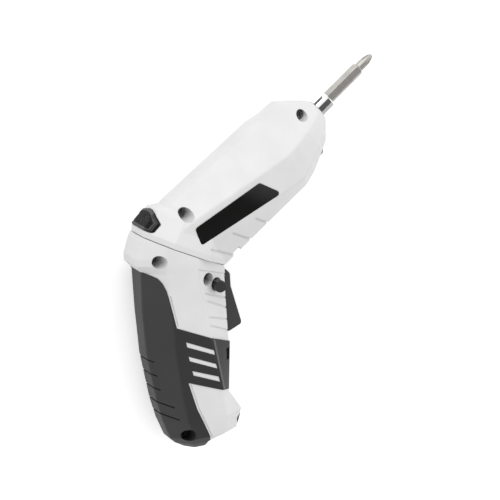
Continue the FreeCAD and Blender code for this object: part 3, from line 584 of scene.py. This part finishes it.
# The label plate's second colour is a painted reflection along its length, its third a painted highlight on
# edges and hairlines.
LABEL_PLATE = SmoothPlate(
    "label_plate_finish", (0.0085, 0.0085, 0.0082), grey(0.038), grey(0.036), 0.40, (0.9, 0.43, 0.0),
    -70.0 * MM, -55.0 * MM, 0.06
)
LAMP_WINDOW = SmoothPlate(
    "lamp_window", grey(0.003), grey(0.004), grey(0.012), 0.5, (0.0, 0.0, 1.0), -6.0 * MM, 6.0 * MM, 0.03
)
CHROME = Metal("chrome", grey(0.90), (0.84, 0.84, 0.83), 0.10, Lay.TURNED, 0.0012 * MM, 0.08)
BIT_STEEL = Metal("bit_steel", (0.50, 0.485, 0.46), (0.38, 0.365, 0.34), 0.54, Lay.DRAWN, 0.006 * MM)
STEEL = Metal("machined_steel", (0.56, 0.57, 0.58), grey(0.42), 0.32, Lay.TURNED, 0.006 * MM)
SCREW_STEEL = Metal("plated_screw", (0.16, 0.16, 0.165), grey(0.08), 0.4, Lay.ROLLED, 0.006 * MM)
NICKEL = Metal("nickel_strip", (0.66, 0.64, 0.60), (0.5, 0.49, 0.45), 0.3, Lay.ROLLED, 0.004 * MM)
BRONZE = Metal("sintered_bronze", (0.56, 0.38, 0.20), (0.36, 0.24, 0.12), 0.42, Lay.ROLLED, 0.01 * MM)
LENS = ClearMoulding("smoked_lens", (0.10, 0.10, 0.105), grey(0.05), 0.12, 0.35)


class PaintShop:
    """Makes each finish once and hands out its material."""

    @lru_cache(maxsize=None)
    def material(self, finish: object) -> Material:
        """Returns the finish's material, made at its first use."""
        return finish.material()

    def dress(self, piece: Piece, *finishes: object) -> None:
        """Gives a piece its materials in place of what it had.

        Args:
            piece: Piece to dress.
            finishes: Finishes in the order of the piece's slots.
        """
        piece.data.materials.clear()
        for finish in finishes:
            piece.data.materials.append(self.material(finish))


PAINT = PaintShop()


class Axis(Enum):
    """Direction of a turned piece, as the turn of a standing cylinder."""

    X = (0.0, math.pi / 2, 0.0)
    Y = (math.pi / 2, 0.0, 0.0)
    Z = (0.0, 0.0, 0.0)


class Element(Enum):
    """What a step selects, as the list of a mesh that holds it."""

    FACE = "faces"
    EDGE = "edges"


class Carving(Enum):
    """What a tool does to a piece."""

    CUT = "DIFFERENCE"
    JOIN = "UNION"
    TRIM = "INTERSECT"


@dataclass(frozen=True)
class Bevel:
    """Rounded edge: least angle of the edge in degrees, width and number of facets."""

    angle: float
    width: float
    steps: int


def clear() -> None:
    """Leaves edit mode and deselects every object."""
    if bpy.context.object is not None and bpy.context.object.mode != "OBJECT":
        bpy.ops.object.mode_set(mode="OBJECT")
    bpy.ops.object.select_all(action="DESELECT")


def hold(piece: Piece) -> None:
    """Makes one piece the only selected and active object.

    Args:
        piece: Piece to hold.
    """
    clear()
    piece.select_set(True)
    bpy.context.view_layer.objects.active = piece


def settled(name: str) -> Piece:
    """Names the new object and puts its place into its mesh.

    Args:
        name: Name of the piece.

    Returns:
        The piece.
    """
    piece = bpy.context.object
    piece.name = name
    piece.data.name = name
    bpy.ops.object.transform_apply(location=True, rotation=True, scale=True)
    return piece


def rod(
    name: str, radius: float, ends: Flat, sides: int, axis: Axis = Axis.X, at: Flat = (0.0, 0.0)
) -> Piece:
    """Adds a closed cylinder.

    Args:
        name: Name of the piece.
        radius: Radius to its corners.
        ends: Both ends along its axis.
        sides: Number of sides.
        axis: Direction it runs.
        at: Place across a standing cylinder's axis.

    Returns:
        The piece.
    """
    clear()
    middle = (ends[0] + ends[1]) / 2
    spot = (middle, 0.0, 0.0) if axis is Axis.X else (at[0], at[1], middle)
    bpy.ops.mesh.primitive_cylinder_add(
        vertices=sides, radius=radius, depth=ends[1] - ends[0], location=spot, rotation=axis.value
    )
    return settled(name)


def turned(name: str, profile: Profile, sides: int) -> Piece:
    """Draws a turned piece out of a rod, cap by cap along X.

    Args:
        name: Name of the piece.
        profile: Place and radius from rear to front, with no radius of 0.
        sides: Number of sides.

    Returns:
        The piece.
    """
    (start, radius), (end, _) = profile[:2]
    piece = rod(name, radius, (start, end), sides)
    pick(piece, lambda face: face.normal.x > END_ON)
    for (before, old), (after, new) in zip(profile[1:], profile[2:]):
        bpy.ops.mesh.extrude_region_move(TRANSFORM_OT_translate={"value": (after - before, 0.0, 0.0)})
        bpy.ops.transform.resize(value=(1.0, new / old, new / old), center_override=(after, 0.0, 0.0))
    clear()
    return piece


def merged(node: str, name: str) -> Piece:
    """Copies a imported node, with its loose triangles merged into flat faces.

    Args:
        node: Node to copy.
        name: Name of the copy.

    Returns:
        The copy.
    """
    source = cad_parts[node]
    piece = bpy.data.objects.new(name, source.data.copy())
    piece.data.name = name
    bpy.context.scene.collection.objects.link(piece)
    hold(piece)
    bpy.ops.object.mode_set(mode="EDIT")
    bpy.ops.mesh.select_all(action="SELECT")
    bpy.ops.mesh.customdata_custom_splitnormals_clear()
    bpy.ops.mesh.remove_doubles(threshold=SAME_SPOT)
    bpy.ops.mesh.dissolve_limited(angle_limit=SAME_PLANE)
    bpy.ops.object.mode_set(mode="OBJECT")
    return piece


def copied(piece: Piece, name: str) -> Piece:
    """Copies a piece with a mesh of its own.

    Args:
        piece: Piece to copy.
        name: Name of the copy.

    Returns:
        The copy.
    """
    hold(piece)
    bpy.ops.object.duplicate(linked=False)
    return settled(name)


def mirrored(piece: Piece, name: str, middle: float = 0.0) -> Piece:
    """Copies a piece to the other side of a level plane.

    Args:
        piece: Piece to copy.
        name: Name of the copy.
        middle: Height of the plane along Z.

    Returns:
        The copy.
    """
    copy = copied(piece, name)
    pick(copy)
    bpy.ops.transform.resize(value=(1.0, 1.0, -1.0), center_override=(0.0, 0.0, middle))
    bpy.ops.mesh.normals_make_consistent(inside=False)
    clear()
    return copy


def pick(piece: Piece, test: Test = lambda element: True, kind: Element = Element.FACE) -> None:
    """Goes into edit mode and selects the faces or edges that pass a test.

    Args:
        piece: Piece to work on.
        test: Says whether to select a face or edge, as all are if not given.
        kind: What to select.
    """
    hold(piece)
    bpy.ops.object.mode_set(mode="EDIT")
    bpy.ops.mesh.select_mode(type=kind.name)
    bpy.ops.mesh.select_all(action="DESELECT")
    form = bmesh.from_edit_mesh(piece.data)
    for element in getattr(form, kind.value):
        if test(element):
            element.select_set(True)
    bmesh.update_edit_mesh(piece.data)


def round_edges(piece: Piece, bevel: Bevel, test: Test = lambda spot: True) -> None:
    """Bevels sharp edges.

    Args:
        piece: Piece to work on.
        bevel: How to round them.
        test: Says whether an edge's middle is in reach, as every edge is if not given.
    """
    least = math.radians(bevel.angle)

    def sharp(edge: bmesh.types.BMEdge) -> bool:
        """Says whether an edge is sharp and in reach."""
        bent = len(edge.link_faces) == 2 and edge.calc_face_angle(0.0) >= least
        return bent and test((edge.verts[0].co + edge.verts[1].co) / 2)

    pick(piece, sharp, Element.EDGE)
    bpy.ops.mesh.bevel(offset=bevel.width, segments=bevel.steps, affect="EDGES", clamp_overlap=True)
    clear()


def apply(piece: Piece, kind: str, **settings: object) -> None:
    """Adds a modifier and applies it.

    Args:
        piece: Piece to change.
        kind: Type of the modifier.
        settings: Properties of the modifier.
    """
    hold(piece)
    modifier = piece.modifiers.new(kind.lower(), kind)
    for name, value in settings.items():
        setattr(modifier, name, value)
    bpy.ops.object.modifier_apply(modifier=modifier.name)


def carve(piece: Piece, tool: Piece, carving: Carving = Carving.CUT) -> None:
    """Cuts, joins or trims a piece with another one, which is used up."""
    apply(piece, "BOOLEAN", operation=carving.value, object=tool, solver="EXACT")
    bpy.data.objects.remove(tool)


def spin(piece: Piece, angle: float, axis: Axis) -> Piece:
    """Turns a whole piece about an axis through the origin.

    Args:
        piece: Piece to turn.
        angle: Angle in radians, by the right-hand rule.
        axis: Axis to turn about.

    Returns:
        The piece.
    """
    pick(piece)
    bpy.ops.transform.rotate(value=-angle, orient_axis=axis.name, center_override=(0.0, 0.0, 0.0))
    clear()
    return piece


def assign(piece: Piece, slot: int) -> None:
    """Gives the selected faces the finish in a slot."""
    piece.active_material_index = slot
    bpy.ops.object.material_slot_assign()


def smooth(piece: Piece, angle: float) -> None:
    """Shades a piece smooth.

    Args:
        piece: Piece to shade.
        angle: Largest angle in degrees of an edge that looks round.
    """
    hold(piece)
    bpy.ops.object.shade_smooth_by_angle(angle=math.radians(angle))
    clear()


def fit(piece: Piece, body: str, node: Optional[str] = None) -> None:
    """Makes a finished piece ride on a body, in place of a node if one is named.

    Args:
        piece: Finished piece.
        body: Body that carries it.
        node: Node that it stands for.
    """
    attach(piece, body)
    if node is not None:
        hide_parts(node)
    LOG.info("%s: %d faces, rides on %s", piece.name, len(piece.data.polygons), body)


@dataclass(frozen=True)
class Fold:
    """Directions of the folded tool."""

    half_angle: float = math.radians(27.0)
    back: float = 117.0 * MM

    def axes(self, lean: float) -> Tuple[Vector, Vector]:
        """Returns the upward axis at a lean in radians, and the direction to its front."""
        up = Vector((math.cos(lean), math.sin(lean), 0.0))
        return up, Vector((up.y, -up.x, 0.0))

    def swivel(self) -> Tuple[Vector, Vector]:
        """Returns the swivel's upward axis and the direction to its front."""
        return self.axes(self.half_angle)

    def handle(self) -> Tuple[Vector, Vector]:
        """Returns the handle's upward axis and the direction to its front."""
        return self.axes(2 * self.half_angle)

    def in_handle(self, depth: float, height: float, side: float = 0.0) -> Vector:
        """Returns a place given by its depth and height in the handle."""
        up, front = self.handle()
        return Vector((-self.back, 0.0, side)) + front * depth + up * height

    def from_swivel(self, place: Vector) -> Tuple[float, float, float]:
        """Measures a place from the swivel's centre.

        Args:
            place: Place in the shared frame.

        Returns:
            Its height, depth and side.
        """
        up, front = self.swivel()
        arm = place - Vector((-self.back, 0.0, 0.0))
        return arm.dot(up), arm.dot(front), arm.z


FOLD = Fold()


@dataclass
class ChuckSleeve:
    """Chrome bit holder with its hex socket."""

    profile: Profile = millimetres(
        (-24.4, 4.6), (-24.1, 4.6), (-24.1, 4.2), (-23.3, 4.2), (-23.3, 4.6), (-11.0, 4.6), (-11.0, 5.7),
        (-8.6, 5.7), (-8.6, 6.0), (-0.6, 6.0), (0.0, 5.4),
    )
    sides: int = 96
    flats: float = 6.47 * MM
    turn: float = math.radians(-9.0)
    socket: float = 15.0 * MM
    magnet: float = 2.42 * MM
    magnet_end: float = -17.62 * MM
    shaft: float = 3.02 * MM
    shaft_end: float = -19.6 * MM
    rim: Bevel = Bevel(25.0, 0.15 * MM, 3)
    rim_rear: float = -9.0 * MM
    overcut: float = 1.0 * MM
    overlap: float = 0.1 * MM
    tool_rear: float = -30.0 * MM
    bore_sides: int = 48
    smooth_angle: float = 30.0

    def build(self) -> None:
        """Turns the sleeve, sinks its socket and bores, and softens its rims."""
        sleeve = turned("chuck_sleeve", self.profile, self.sides)
        hexagon = self.flats / math.sqrt(3)
        round_edges(sleeve, self.rim, lambda spot: spot.x > self.rim_rear)
        socket = rod("socket_tool", hexagon, (-self.socket, self.overcut), HEX_SIDES)
        carve(sleeve, spin(socket, self.turn, Axis.X))
        for name, radius, ends in (
            ("magnet_tool", self.magnet, (self.magnet_end, -self.socket + self.overlap)),
            ("shaft_tool", self.shaft, (self.tool_rear, self.shaft_end)),
        ):
            carve(sleeve, rod(name, radius, ends, self.bore_sides))
        smooth(sleeve, self.smooth_angle)
        PAINT.dress(sleeve, CHROME)
        fit(sleeve, "spindle", "bit_holder")


@dataclass
class HexBit:
    """Hex screwdriver bit with a fluted cross tip."""

    flats: float = 6.35 * MM
    rear: float = -14.97 * MM
    hex_end: float = 24.6 * MM
    chamfer: float = 0.6 * MM
    neck: Profile = millimetres(
        (21.0, 2.6), (24.6, 2.6), (28.2, 2.58), (30.4, 2.42), (33.1, 1.75), (34.6, 1.0)
    )
    turn: float = math.radians(-9.0)
    flutes: int = 4
    flute_turn: float = math.radians(23.0)
    flute_start: float = 27.4 * MM
    flute_width: float = 1.2 * MM
    flute_core: float = 0.9 * MM
    edge: Bevel = Bevel(50.0, 0.14 * MM, 2)
    tool_height: float = 4.0 * MM
    tool_overrun: float = 0.5 * MM
    tool_reach: float = 0.1 * MM
    tool_clear: float = 0.05 * MM
    hairline: float = 0.001 * MM
    trim_sides: int = 72
    tip_sides: int = 48
    smooth_angle: float = 28.0

    def flute_tool(self) -> Piece:
        """Makes the cutter of a flute.

        Returns:
            The cutter, a bar that leans in towards the tip.
        """
        clear()
        bpy.ops.mesh.primitive_cube_add(size=1.0)
        tool = settled("flute_tool")
        tip = self.neck[-1][0] + self.tool_overrun
        half = self.tool_height / 2
        rear = self.flute_start + self.tool_reach
        pick(tool)
        bpy.ops.transform.resize(value=(tip - self.flute_start, self.tool_height, self.flute_width))
        bpy.ops.transform.translate(value=((tip + self.flute_start) / 2, half + self.flute_core, 0.0))

        def low_rear(edge: bmesh.types.BMEdge) -> bool:
            """Says whether an edge is the low one at the rear."""
            return all(vertex.co.x < rear and vertex.co.y < half for vertex in edge.verts)

        pick(tool, low_rear, Element.EDGE)
        bpy.ops.transform.translate(value=(0.0, self.neck[1][1] + self.tool_clear - self.flute_core, 0.0))
        clear()
        return tool

    def build(self) -> None:
        """Makes the hex shank and the tip, and softens their edges."""
        corner, neck = self.flats / math.sqrt(3), self.neck[0][1]
        bit = rod("hex_bit", corner, (self.rear, self.hex_end), HEX_SIDES)
        spin(bit, self.turn, Axis.X)
        end, lead = corner - self.chamfer, corner - neck
        trim = turned("shank_trim", (
            (self.rear, end), (self.rear + self.hairline, end), (self.rear + self.chamfer, corner),
            (self.hex_end - lead, corner), (self.hex_end, neck),
        ), self.trim_sides)
        carve(bit, trim, Carving.TRIM)
        round_edges(bit, self.edge)
        tip = turned("bit_tip", self.neck, self.tip_sides)
        tool = self.flute_tool()
        for number in range(self.flutes):
            turn = 2 * math.pi * number / self.flutes + self.flute_turn
            carve(tip, spin(copied(tool, "flute_copy"), turn, Axis.X))
        bpy.data.objects.remove(tool)
        carve(bit, tip, Carving.JOIN)
        smooth(bit, self.smooth_angle)
        PAINT.dress(bit, BIT_STEEL)
        fit(bit, "bit", "screwdriver_bit")


@dataclass
class TriggerBlade:
    """Trigger with rounded front edges."""

    pivot: Flat = (21.8 * MM, -18.2 * MM)
    clear: float = 3.0 * MM
    edge: Bevel = Bevel(20.0, 1.1 * MM, 4)
    smooth_angle: float = 35.0

    def build(self) -> None:
        """Rounds all edges but those of the pivot hole."""
        blade = merged("trigger", "trigger_blade")
        centre = FOLD.in_handle(*self.pivot)
        round_edges(blade, self.edge, lambda spot: (spot.xy - centre.xy).length > self.clear)
        smooth(blade, self.smooth_angle)
        PAINT.dress(blade, DARK_TRIGGER)
        fit(blade, "trigger", "trigger")


@dataclass
class LabelPlate:
    """Bare label plate let into the side of the head."""

    edge: Bevel = Bevel(50.0, 0.25 * MM, 3)
    smooth_angle: float = 30.0

    def build(self) -> None:
        """Rounds the plate's rim."""
        plate = merged("label_plate", "label_cover")
        round_edges(plate, self.edge)
        smooth(plate, self.smooth_angle)
        PAINT.dress(plate, LABEL_PLATE)
        fit(plate, "head", "label_plate")


@dataclass
class LockPad:
    """Swivel lock button, a smooth border round a domed, pebbled middle."""

    corners: Profile = millimetres(
        (3.8, 0.0), (3.8, 12.3), (9.6, 12.2), (13.7, 8.0), (14.9, 2.0), (14.9, 0.0)
    )
    voxel: float = 0.22 * MM
    rounds: int = 4
    border: float = 1.5 * MM
    ridge: Flat = (0.75 * MM, 1.2 * MM)
    ridge_lift: float = 0.1 * MM
    lifts: Profile = millimetres((0.9, 0.1), (1.9, 0.1))
    skin: float = -14.5 * MM
    pebble: float = 1.0 * MM
    relief: float = 0.3 * MM
    facing: float = -0.3
    softness: float = 0.5
    blend: float = 0.4 * MM
    blend_rounds: int = 12
    pebbled_slot: int = 1
    ridge_highlight_slot: int = 2
    smooth_angle: float = 60.0

    def margin(self, height: float, side: float) -> float:
        """Measures how far a place lies inside the button's outline.

        Args:
            height: Height of the place from the swivel's centre.
            side: Its distance from the middle plane.

        Returns:
            The distance to the nearest side of the outline.
        """
        least = math.inf
        for one, two in zip(self.corners, self.corners[1:]):
            run = Vector((two[0] - one[0], two[1] - one[1])).normalized()
            arm = Vector((height - one[0], abs(side) - one[1]))
            least = min(least, run.y * arm.x - run.x * arm.y)
        return least

    def pick_ring(self, pad: Piece, border: float, reach: float = math.inf) -> None:
        """Selects the faces of the outer skin in a ring inside its outline.

        Args:
            pad: Button to work on.
            border: Outer edge of the ring, as a distance from the outline.
            reach: Inner edge of the ring.
        """
        front = FOLD.swivel()[1]

        def outer(face: bmesh.types.BMFace) -> bool:
            """Says whether a face is on the skin and in the ring."""
            height, depth, side = FOLD.from_swivel(face.calc_center_median())
            return depth < self.skin and border < self.margin(height, side) < reach

        pick(pad, lambda face: face.normal.dot(front) < self.facing and outer(face))

    def build(self) -> None:
        """Softens the button, domes its skin, raises a ridge round it, paints the ridge lighter as a painted
        highlight and pebbles the middle.
        """
        pad = merged("lock_button", "lock_pad")
        apply(pad, "REMESH", mode="VOXEL", voxel_size=self.voxel)
        apply(pad, "SMOOTH", factor=self.softness, iterations=self.rounds)
        PAINT.dress(pad, SMOOTH_KEY, PEBBLED_KEY, KEY_HIGHLIGHT)
        for border, lift in self.lifts:
            self.pick_ring(pad, border)
            bpy.ops.transform.shrink_fatten(value=lift)
        self.pick_ring(pad, self.blend)
        bpy.ops.mesh.vertices_smooth(factor=self.softness, repeat=self.blend_rounds)
        self.pick_ring(pad, *self.ridge)
        bpy.ops.transform.shrink_fatten(value=self.ridge_lift)
        # The ridge gets the lighter finish, a painted highlight.
        assign(pad, self.ridge_highlight_slot)
        self.pick_ring(pad, self.border)
        assign(pad, self.pebbled_slot)
        bpy.ops.object.vertex_group_add()
        bpy.ops.object.vertex_group_assign()
        pebbles = bpy.data.textures.new("pebbles", "VORONOI")
        pebbles.noise_scale = self.pebble
        apply(
            pad, "DISPLACE", texture=pebbles, texture_coords="LOCAL", strength=-self.relief, mid_level=0.0,
            vertex_group=pad.vertex_groups[0].name,
        )
        smooth(pad, self.smooth_angle)
        fit(pad, "lock", "lock_button")


@dataclass
class DirectionKey:
    """Cross bolt that sets the turning direction, with a fluted knob at each end."""

    place: Flat = (15.8 * MM, -20.6 * MM)
    ends: Flat = (-12.5 * MM, 19.5 * MM)
    knob: float = 6.3 * MM
    radius: float = 3.4 * MM
    neck: float = 1.8 * MM
    sides: int = 10
    flat: float = 0.35 * MM
    flat_sink: float = 0.3 * MM
    rim: float = 0.9 * MM
    dish: float = 0.4 * MM
    edge: Bevel = Bevel(20.0, 0.3 * MM, 2)
    full_side: float = 0.4
    bolt_sides: int = 32
    bolt_share: float = 0.9
    cap_highlight_slot: int = 1
    smooth_angle: float = 30.0

    def right_knob(self) -> Piece:
        """Makes the right-hand knob.

        Returns:
            The knob.
        """
        spot = FOLD.in_handle(*self.place)
        ends = (self.ends[1] - self.knob, self.ends[1])
        knob = rod("right_knob", self.radius, ends, self.sides, Axis.Z, (spot.x, spot.y))
        round_edges(knob, self.edge)
        width = self.radius * 2 * math.sin(math.pi / self.sides)

        def flute(face: bmesh.types.BMFace) -> bool:
            """Says whether a face is a full side of the knob."""
            return abs(face.normal.z) < SIDE_ON and face.calc_area() > self.full_side * width * self.knob

        pick(knob, flute)
        bpy.ops.mesh.inset(thickness=self.flat, use_individual=True)
        bpy.ops.transform.shrink_fatten(value=-self.flat_sink)
        pick(knob, lambda face: face.normal.z > END_ON)
        bpy.ops.mesh.inset(thickness=self.rim)
        bpy.ops.transform.translate(value=(0.0, 0.0, -self.dish))
        clear()
        return knob

    def build(self) -> None:
        """Makes the bolt and both knobs as one piece, with their end faces painted lighter as a painted
        highlight.
        """
        spot = FOLD.in_handle(*self.place)
        key = rod("direction_key", self.neck, self.ends, self.bolt_sides, Axis.Z, (spot.x, spot.y))
        pick(key, lambda face: abs(face.normal.z) > END_ON)
        bpy.ops.transform.resize(value=(1.0, 1.0, self.bolt_share))
        right = self.right_knob()
        left = mirrored(right, "left_knob", sum(self.ends) / 2)
        for knob in (right, left):
            carve(key, knob, Carving.JOIN)
        smooth(key, self.smooth_angle)
        PAINT.dress(key, KNOB, KEY_HIGHLIGHT)
        # The knobs' end faces get the lighter finish, a painted highlight.
        pick(key, lambda face: abs(face.normal.z) > END_ON)
        assign(key, self.cap_highlight_slot)
        clear()
        fit(key, "selector", "direction_selector")


@dataclass
class GripRibs:
    """Raised rib on each side of the grip, along the front corner of its band, coloured light grey as a
    painted highlight on that corner.
    """

    top: Point = (9.7 * MM, -49.9 * MM, 18.55 * MM)
    bottom: Point = (13.7 * MM, -78.9 * MM, 17.75 * MM)
    radius: float = 0.6 * MM
    sides: int = 16
    taper: Bevel = Bevel(60.0, 0.35 * MM, 3)
    smooth_angle: float = 40.0

    def build(self) -> None:
        """Lays the right-hand rib along its line and mirrors a copy to the left."""
        one, two = FOLD.in_handle(*self.bottom), FOLD.in_handle(*self.top)
        line = two - one
        rib = rod("right_grip_rib", self.radius, (0.0, line.length), self.sides)
        round_edges(rib, self.taper)
        spin(rib, -math.asin(line.z / line.length), Axis.Y)
        spin(rib, math.atan2(line.y, line.x), Axis.Z)
        pick(rib)
        bpy.ops.transform.translate(value=one)
        for piece in (rib, mirrored(rib, "left_grip_rib")):
            smooth(piece, self.smooth_angle)
            # The ribs' light grey is a painted highlight.
            PAINT.dress(piece, RIB_HIGHLIGHT)
            fit(piece, "handle")


@dataclass
class CoilSpring:
    """Coil spring between its fixed seat and its key, which shortens it when pressed; here the coil keeps its
    imported length.
    """

    node: str
    name: str
    body: str
    joint: str
    towards_key: Vector
    travel: float
    smooth_angle: float = 40.0

    def build(self) -> None:
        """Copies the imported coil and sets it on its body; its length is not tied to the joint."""
        wire = merged(self.node, self.name)
        smooth(wire, self.smooth_angle)
        PAINT.dress(wire, STEEL)
        fit(wire, self.body, self.node)
        reach = [vertex.co.dot(self.towards_key) for vertex in wire.data.vertices]
        tuple(self.towards_key)
        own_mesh(wire)


LOCK_TRAVEL = 2.5 * MM
TRIGGER_TRAVEL = 3.7 * MM


def springs() -> List[CoilSpring]:
    """Returns the springs of the lock button and of the trigger."""
    lock_front, trigger_front = FOLD.swivel()[1], FOLD.handle()[1]
    return [
        CoilSpring("lock_spring", "lock_coil", "head", "lock_press", -lock_front, LOCK_TRAVEL),
        CoilSpring("trigger_spring", "trigger_coil", "handle", "trigger_pull", trigger_front, TRIGGER_TRAVEL),
    ]


@dataclass
class PackedNodes:
    """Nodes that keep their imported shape."""

    finishes: Dict[object, List[str]] = field(default_factory=lambda: {
        WHITE_SHELL: ["head_shell_right", "head_shell_left", "handle_shell_right", "handle_shell_left"],
        GRIP_RUBBER: ["grip_right", "grip_left"],
        DARK_TRIGGER: ["trigger_switch"],
        DARK_SOCKET: ["charging_jack"],
        LAMP_WINDOW: ["charge_light"],
        STEEL: [
            "trigger_pin", "motor_can", "motor_rotor", "motor_pinion", "first_carrier", "output_spindle",
            "retaining_clip", "bit_magnet", "second_planet_1", "second_planet_2", "second_planet_3",
        ],
        NYLON: [
            "index_ring", "motor_end_cap", "gear_case", "first_planet_1", "first_planet_2", "first_planet_3",
        ],
        SCREW_STEEL: ["head_screws", "handle_screws"],
        BOARD: ["control_board"],
        CELL_WRAP: ["battery_cells"],
        NICKEL: ["battery_straps"],
        BRONZE: ["spindle_bush"],
        FERRITE: ["motor_magnets"],
        POTTED_CHIP: ["work_light_diode"],
        LENS: ["work_light_lens"],
    })

    def build(self) -> None:
        """Dresses each node in its finish."""
        for finish, nodes in self.finishes.items():
            for node in nodes:
                PAINT.dress(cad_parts[node], finish)
                LOG.info("%s is dressed in %s", node, finish.name)


@dataclass(frozen=True)
class SoftBox:
    """Square lamp that faces the tool: its place and side in metres and its power in watts."""

    name: str
    spot: Point
    size: float
    power: float


@dataclass(frozen=True)
class Sheet:
    """Flat sheet of the stage: its middle, sides, turn about each axis and own glow."""

    name: str
    centre: Point
    size: Flat
    turn: Point
    glow: float


@dataclass
class Studio:
    """Floor, lights, dark cards and camera."""

    distance: float = 1.6
    view_width: float = 0.275
    sensor: float = 36.0
    towards: Point = (-0.1408, 0.4225, 0.8953)
    along_bit: Point = (0.99003, 0.06011, 0.12737)
    across_bit: Point = (0.0, 0.90436, -0.42678)
    centre_right: float = -0.04257
    centre_up: float = -0.0833
    middle: Point = (-0.08, -0.03, 0.0)
    clip_end: float = 20.0
    room: float = 0.74
    lamps: Tuple[SoftBox, ...] = (
        SoftBox("key", (0.25, 1.05, 0.62), 0.8, 4.9),
        SoftBox("fill", (0.7, -0.42, 0.96), 0.9, 2.2),
    )
    cards: Tuple[Sheet, ...] = (
        Sheet("overhead_card", (0.05, -0.2, 0.9), (1.4, 1.06), (math.pi, 0.0, 0.0), 0.1),
        Sheet("side_card", (0.05, -1.0, 0.55), (1.4, 0.8), (math.pi * 1.3, 0.0, 0.0), 0.55),
        Sheet("low_card", (-0.011, 0.042, 0.0149), (0.038, 0.0223), (math.pi / 2, 0.0, 0.0), 0.1),
    )
    ground: Sheet = Sheet("floor", (*middle[:2], CAD_BOX[0].z), (6.0, 6.0), (0.0, 0.0, 0.0), 0.45)
    paper: Colour = grey(0.86)
    paper_shade: Colour = grey(0.84)
    paper_cloud: float = 0.4
    paper_share: float = 0.02

    def camera(self) -> None:
        """Sets a long-lens camera at the viewing angle, with the bit rising at 45 degrees."""
        back = Vector(self.towards).normalized()
        right = (Vector(self.along_bit) - Vector(self.across_bit)).normalized()
        up = back.cross(right).normalized()
        right = up.cross(back)
        target = right * self.centre_right + up * self.centre_up
        data = bpy.data.cameras.new("camera")
        data.sensor_width = self.sensor
        data.lens = self.sensor * self.distance / self.view_width
        data.clip_end = self.clip_end
        eye = bpy.data.objects.new("camera", data)
        bpy.context.scene.collection.objects.link(eye)
        turn = Matrix((right, up, back)).transposed().to_4x4()
        eye.matrix_world = Matrix.Translation(target + back * self.distance) @ turn
        bpy.context.scene.camera = eye

    def lamp(self, lamp: SoftBox) -> None:
        """Hangs one soft box.

        Args:
            lamp: Lamp to hang.
        """
        data = bpy.data.lights.new(lamp.name, "AREA")
        data.size = lamp.size
        data.energy = lamp.power
        box = bpy.data.objects.new(lamp.name, data)
        bpy.context.scene.collection.objects.link(box)
        spot = Vector(lamp.spot)
        aim = (Vector(self.middle) - spot).to_track_quat("-Z", "Y")
        box.matrix_world = Matrix.Translation(spot) @ aim.to_matrix().to_4x4()

    def plane(self, sheet: Sheet, graph: Graph) -> Piece:
        """Adds one flat sheet of the stage.

        Args:
            sheet: Sheet to add.
            graph: Graph of its material.

        Returns:
            The sheet.
        """
        clear()
        bpy.ops.mesh.primitive_plane_add(size=1.0, location=sheet.centre, rotation=sheet.turn)
        bpy.context.object.scale = (*sheet.size, 1.0)
        made = settled(sheet.name)
        made.data.materials.append(graph.owner)
        return made

    def dark_card(self, sheet: Sheet) -> None:
        """Stands a dark card that shows only in polished metal.

        Args:
            sheet: Card to stand, with a glow where the room's is 1.
        """
        graph = new_graph(sheet.name)
        glow = graph.node("Emission", {}, {"Strength": sheet.glow})
        graph.close("OutputMaterial", glow)
        card = self.plane(sheet, graph)
        for ray in ("camera", "diffuse", "shadow", "transmission"):
            setattr(card, "visible_" + ray, False)

    def floor(self) -> None:
        """Lays a white floor under the tool that keeps its soft shadow."""
        graph = new_graph("white_floor")
        clouds = graph.noise(self.paper_cloud, PLAIN_DETAIL)
        tint = graph.mix(clouds * self.paper_share, self.paper, self.paper_shade)
        paper = graph.node("BsdfDiffuse", {}, {"Color": tint})
        glow = graph.node("Emission", {}, {"Strength": self.ground.glow})
        lit = graph.node("AddShader", {}, {0: paper, 1: glow})
        mixed = graph.node("MixShader", {}, {0: graph.seen(), 1: paper, 2: lit})
        graph.close("OutputMaterial", mixed)
        self.plane(self.ground, graph)

    def world(self) -> None:
        """Fills the room with even white light, and shows white behind the tool."""
        world = bpy.data.worlds.new("room")
        bpy.context.scene.world = world
        graph = Graph(world)
        white = (*grey(1.0), 1.0)
        dim = graph.node("Background", {}, {"Color": white, "Strength": self.room})
        full = graph.node("Background", {}, {"Color": white, "Strength": 1.0})
        shown = graph.node("MixShader", {}, {0: graph.seen(), 1: dim, 2: full})
        graph.close("OutputWorld", shown)

    def build(self) -> None:
        """Sets up the whole studio."""
        self.world()
        self.floor()
        for lamp in self.lamps:
            self.lamp(lamp)
        for card in self.cards:
            self.dark_card(card)
        self.camera()
        bpy.context.scene.view_settings.view_transform = "Standard"


def main() -> None:
    """Builds the pieces, then the studio."""
    logging.basicConfig(level=logging.INFO, format="%(message)s")
    parts = [
        PackedNodes(), ChuckSleeve(), HexBit(), TriggerBlade(), LabelPlate(), LockPad(), DirectionKey(),
        GripRibs(), *springs(), Studio(),
    ]
    for part in parts:
        LOG.info("building %s", type(part).__name__)
        part.build()


if __name__ == "__main__":
    main()
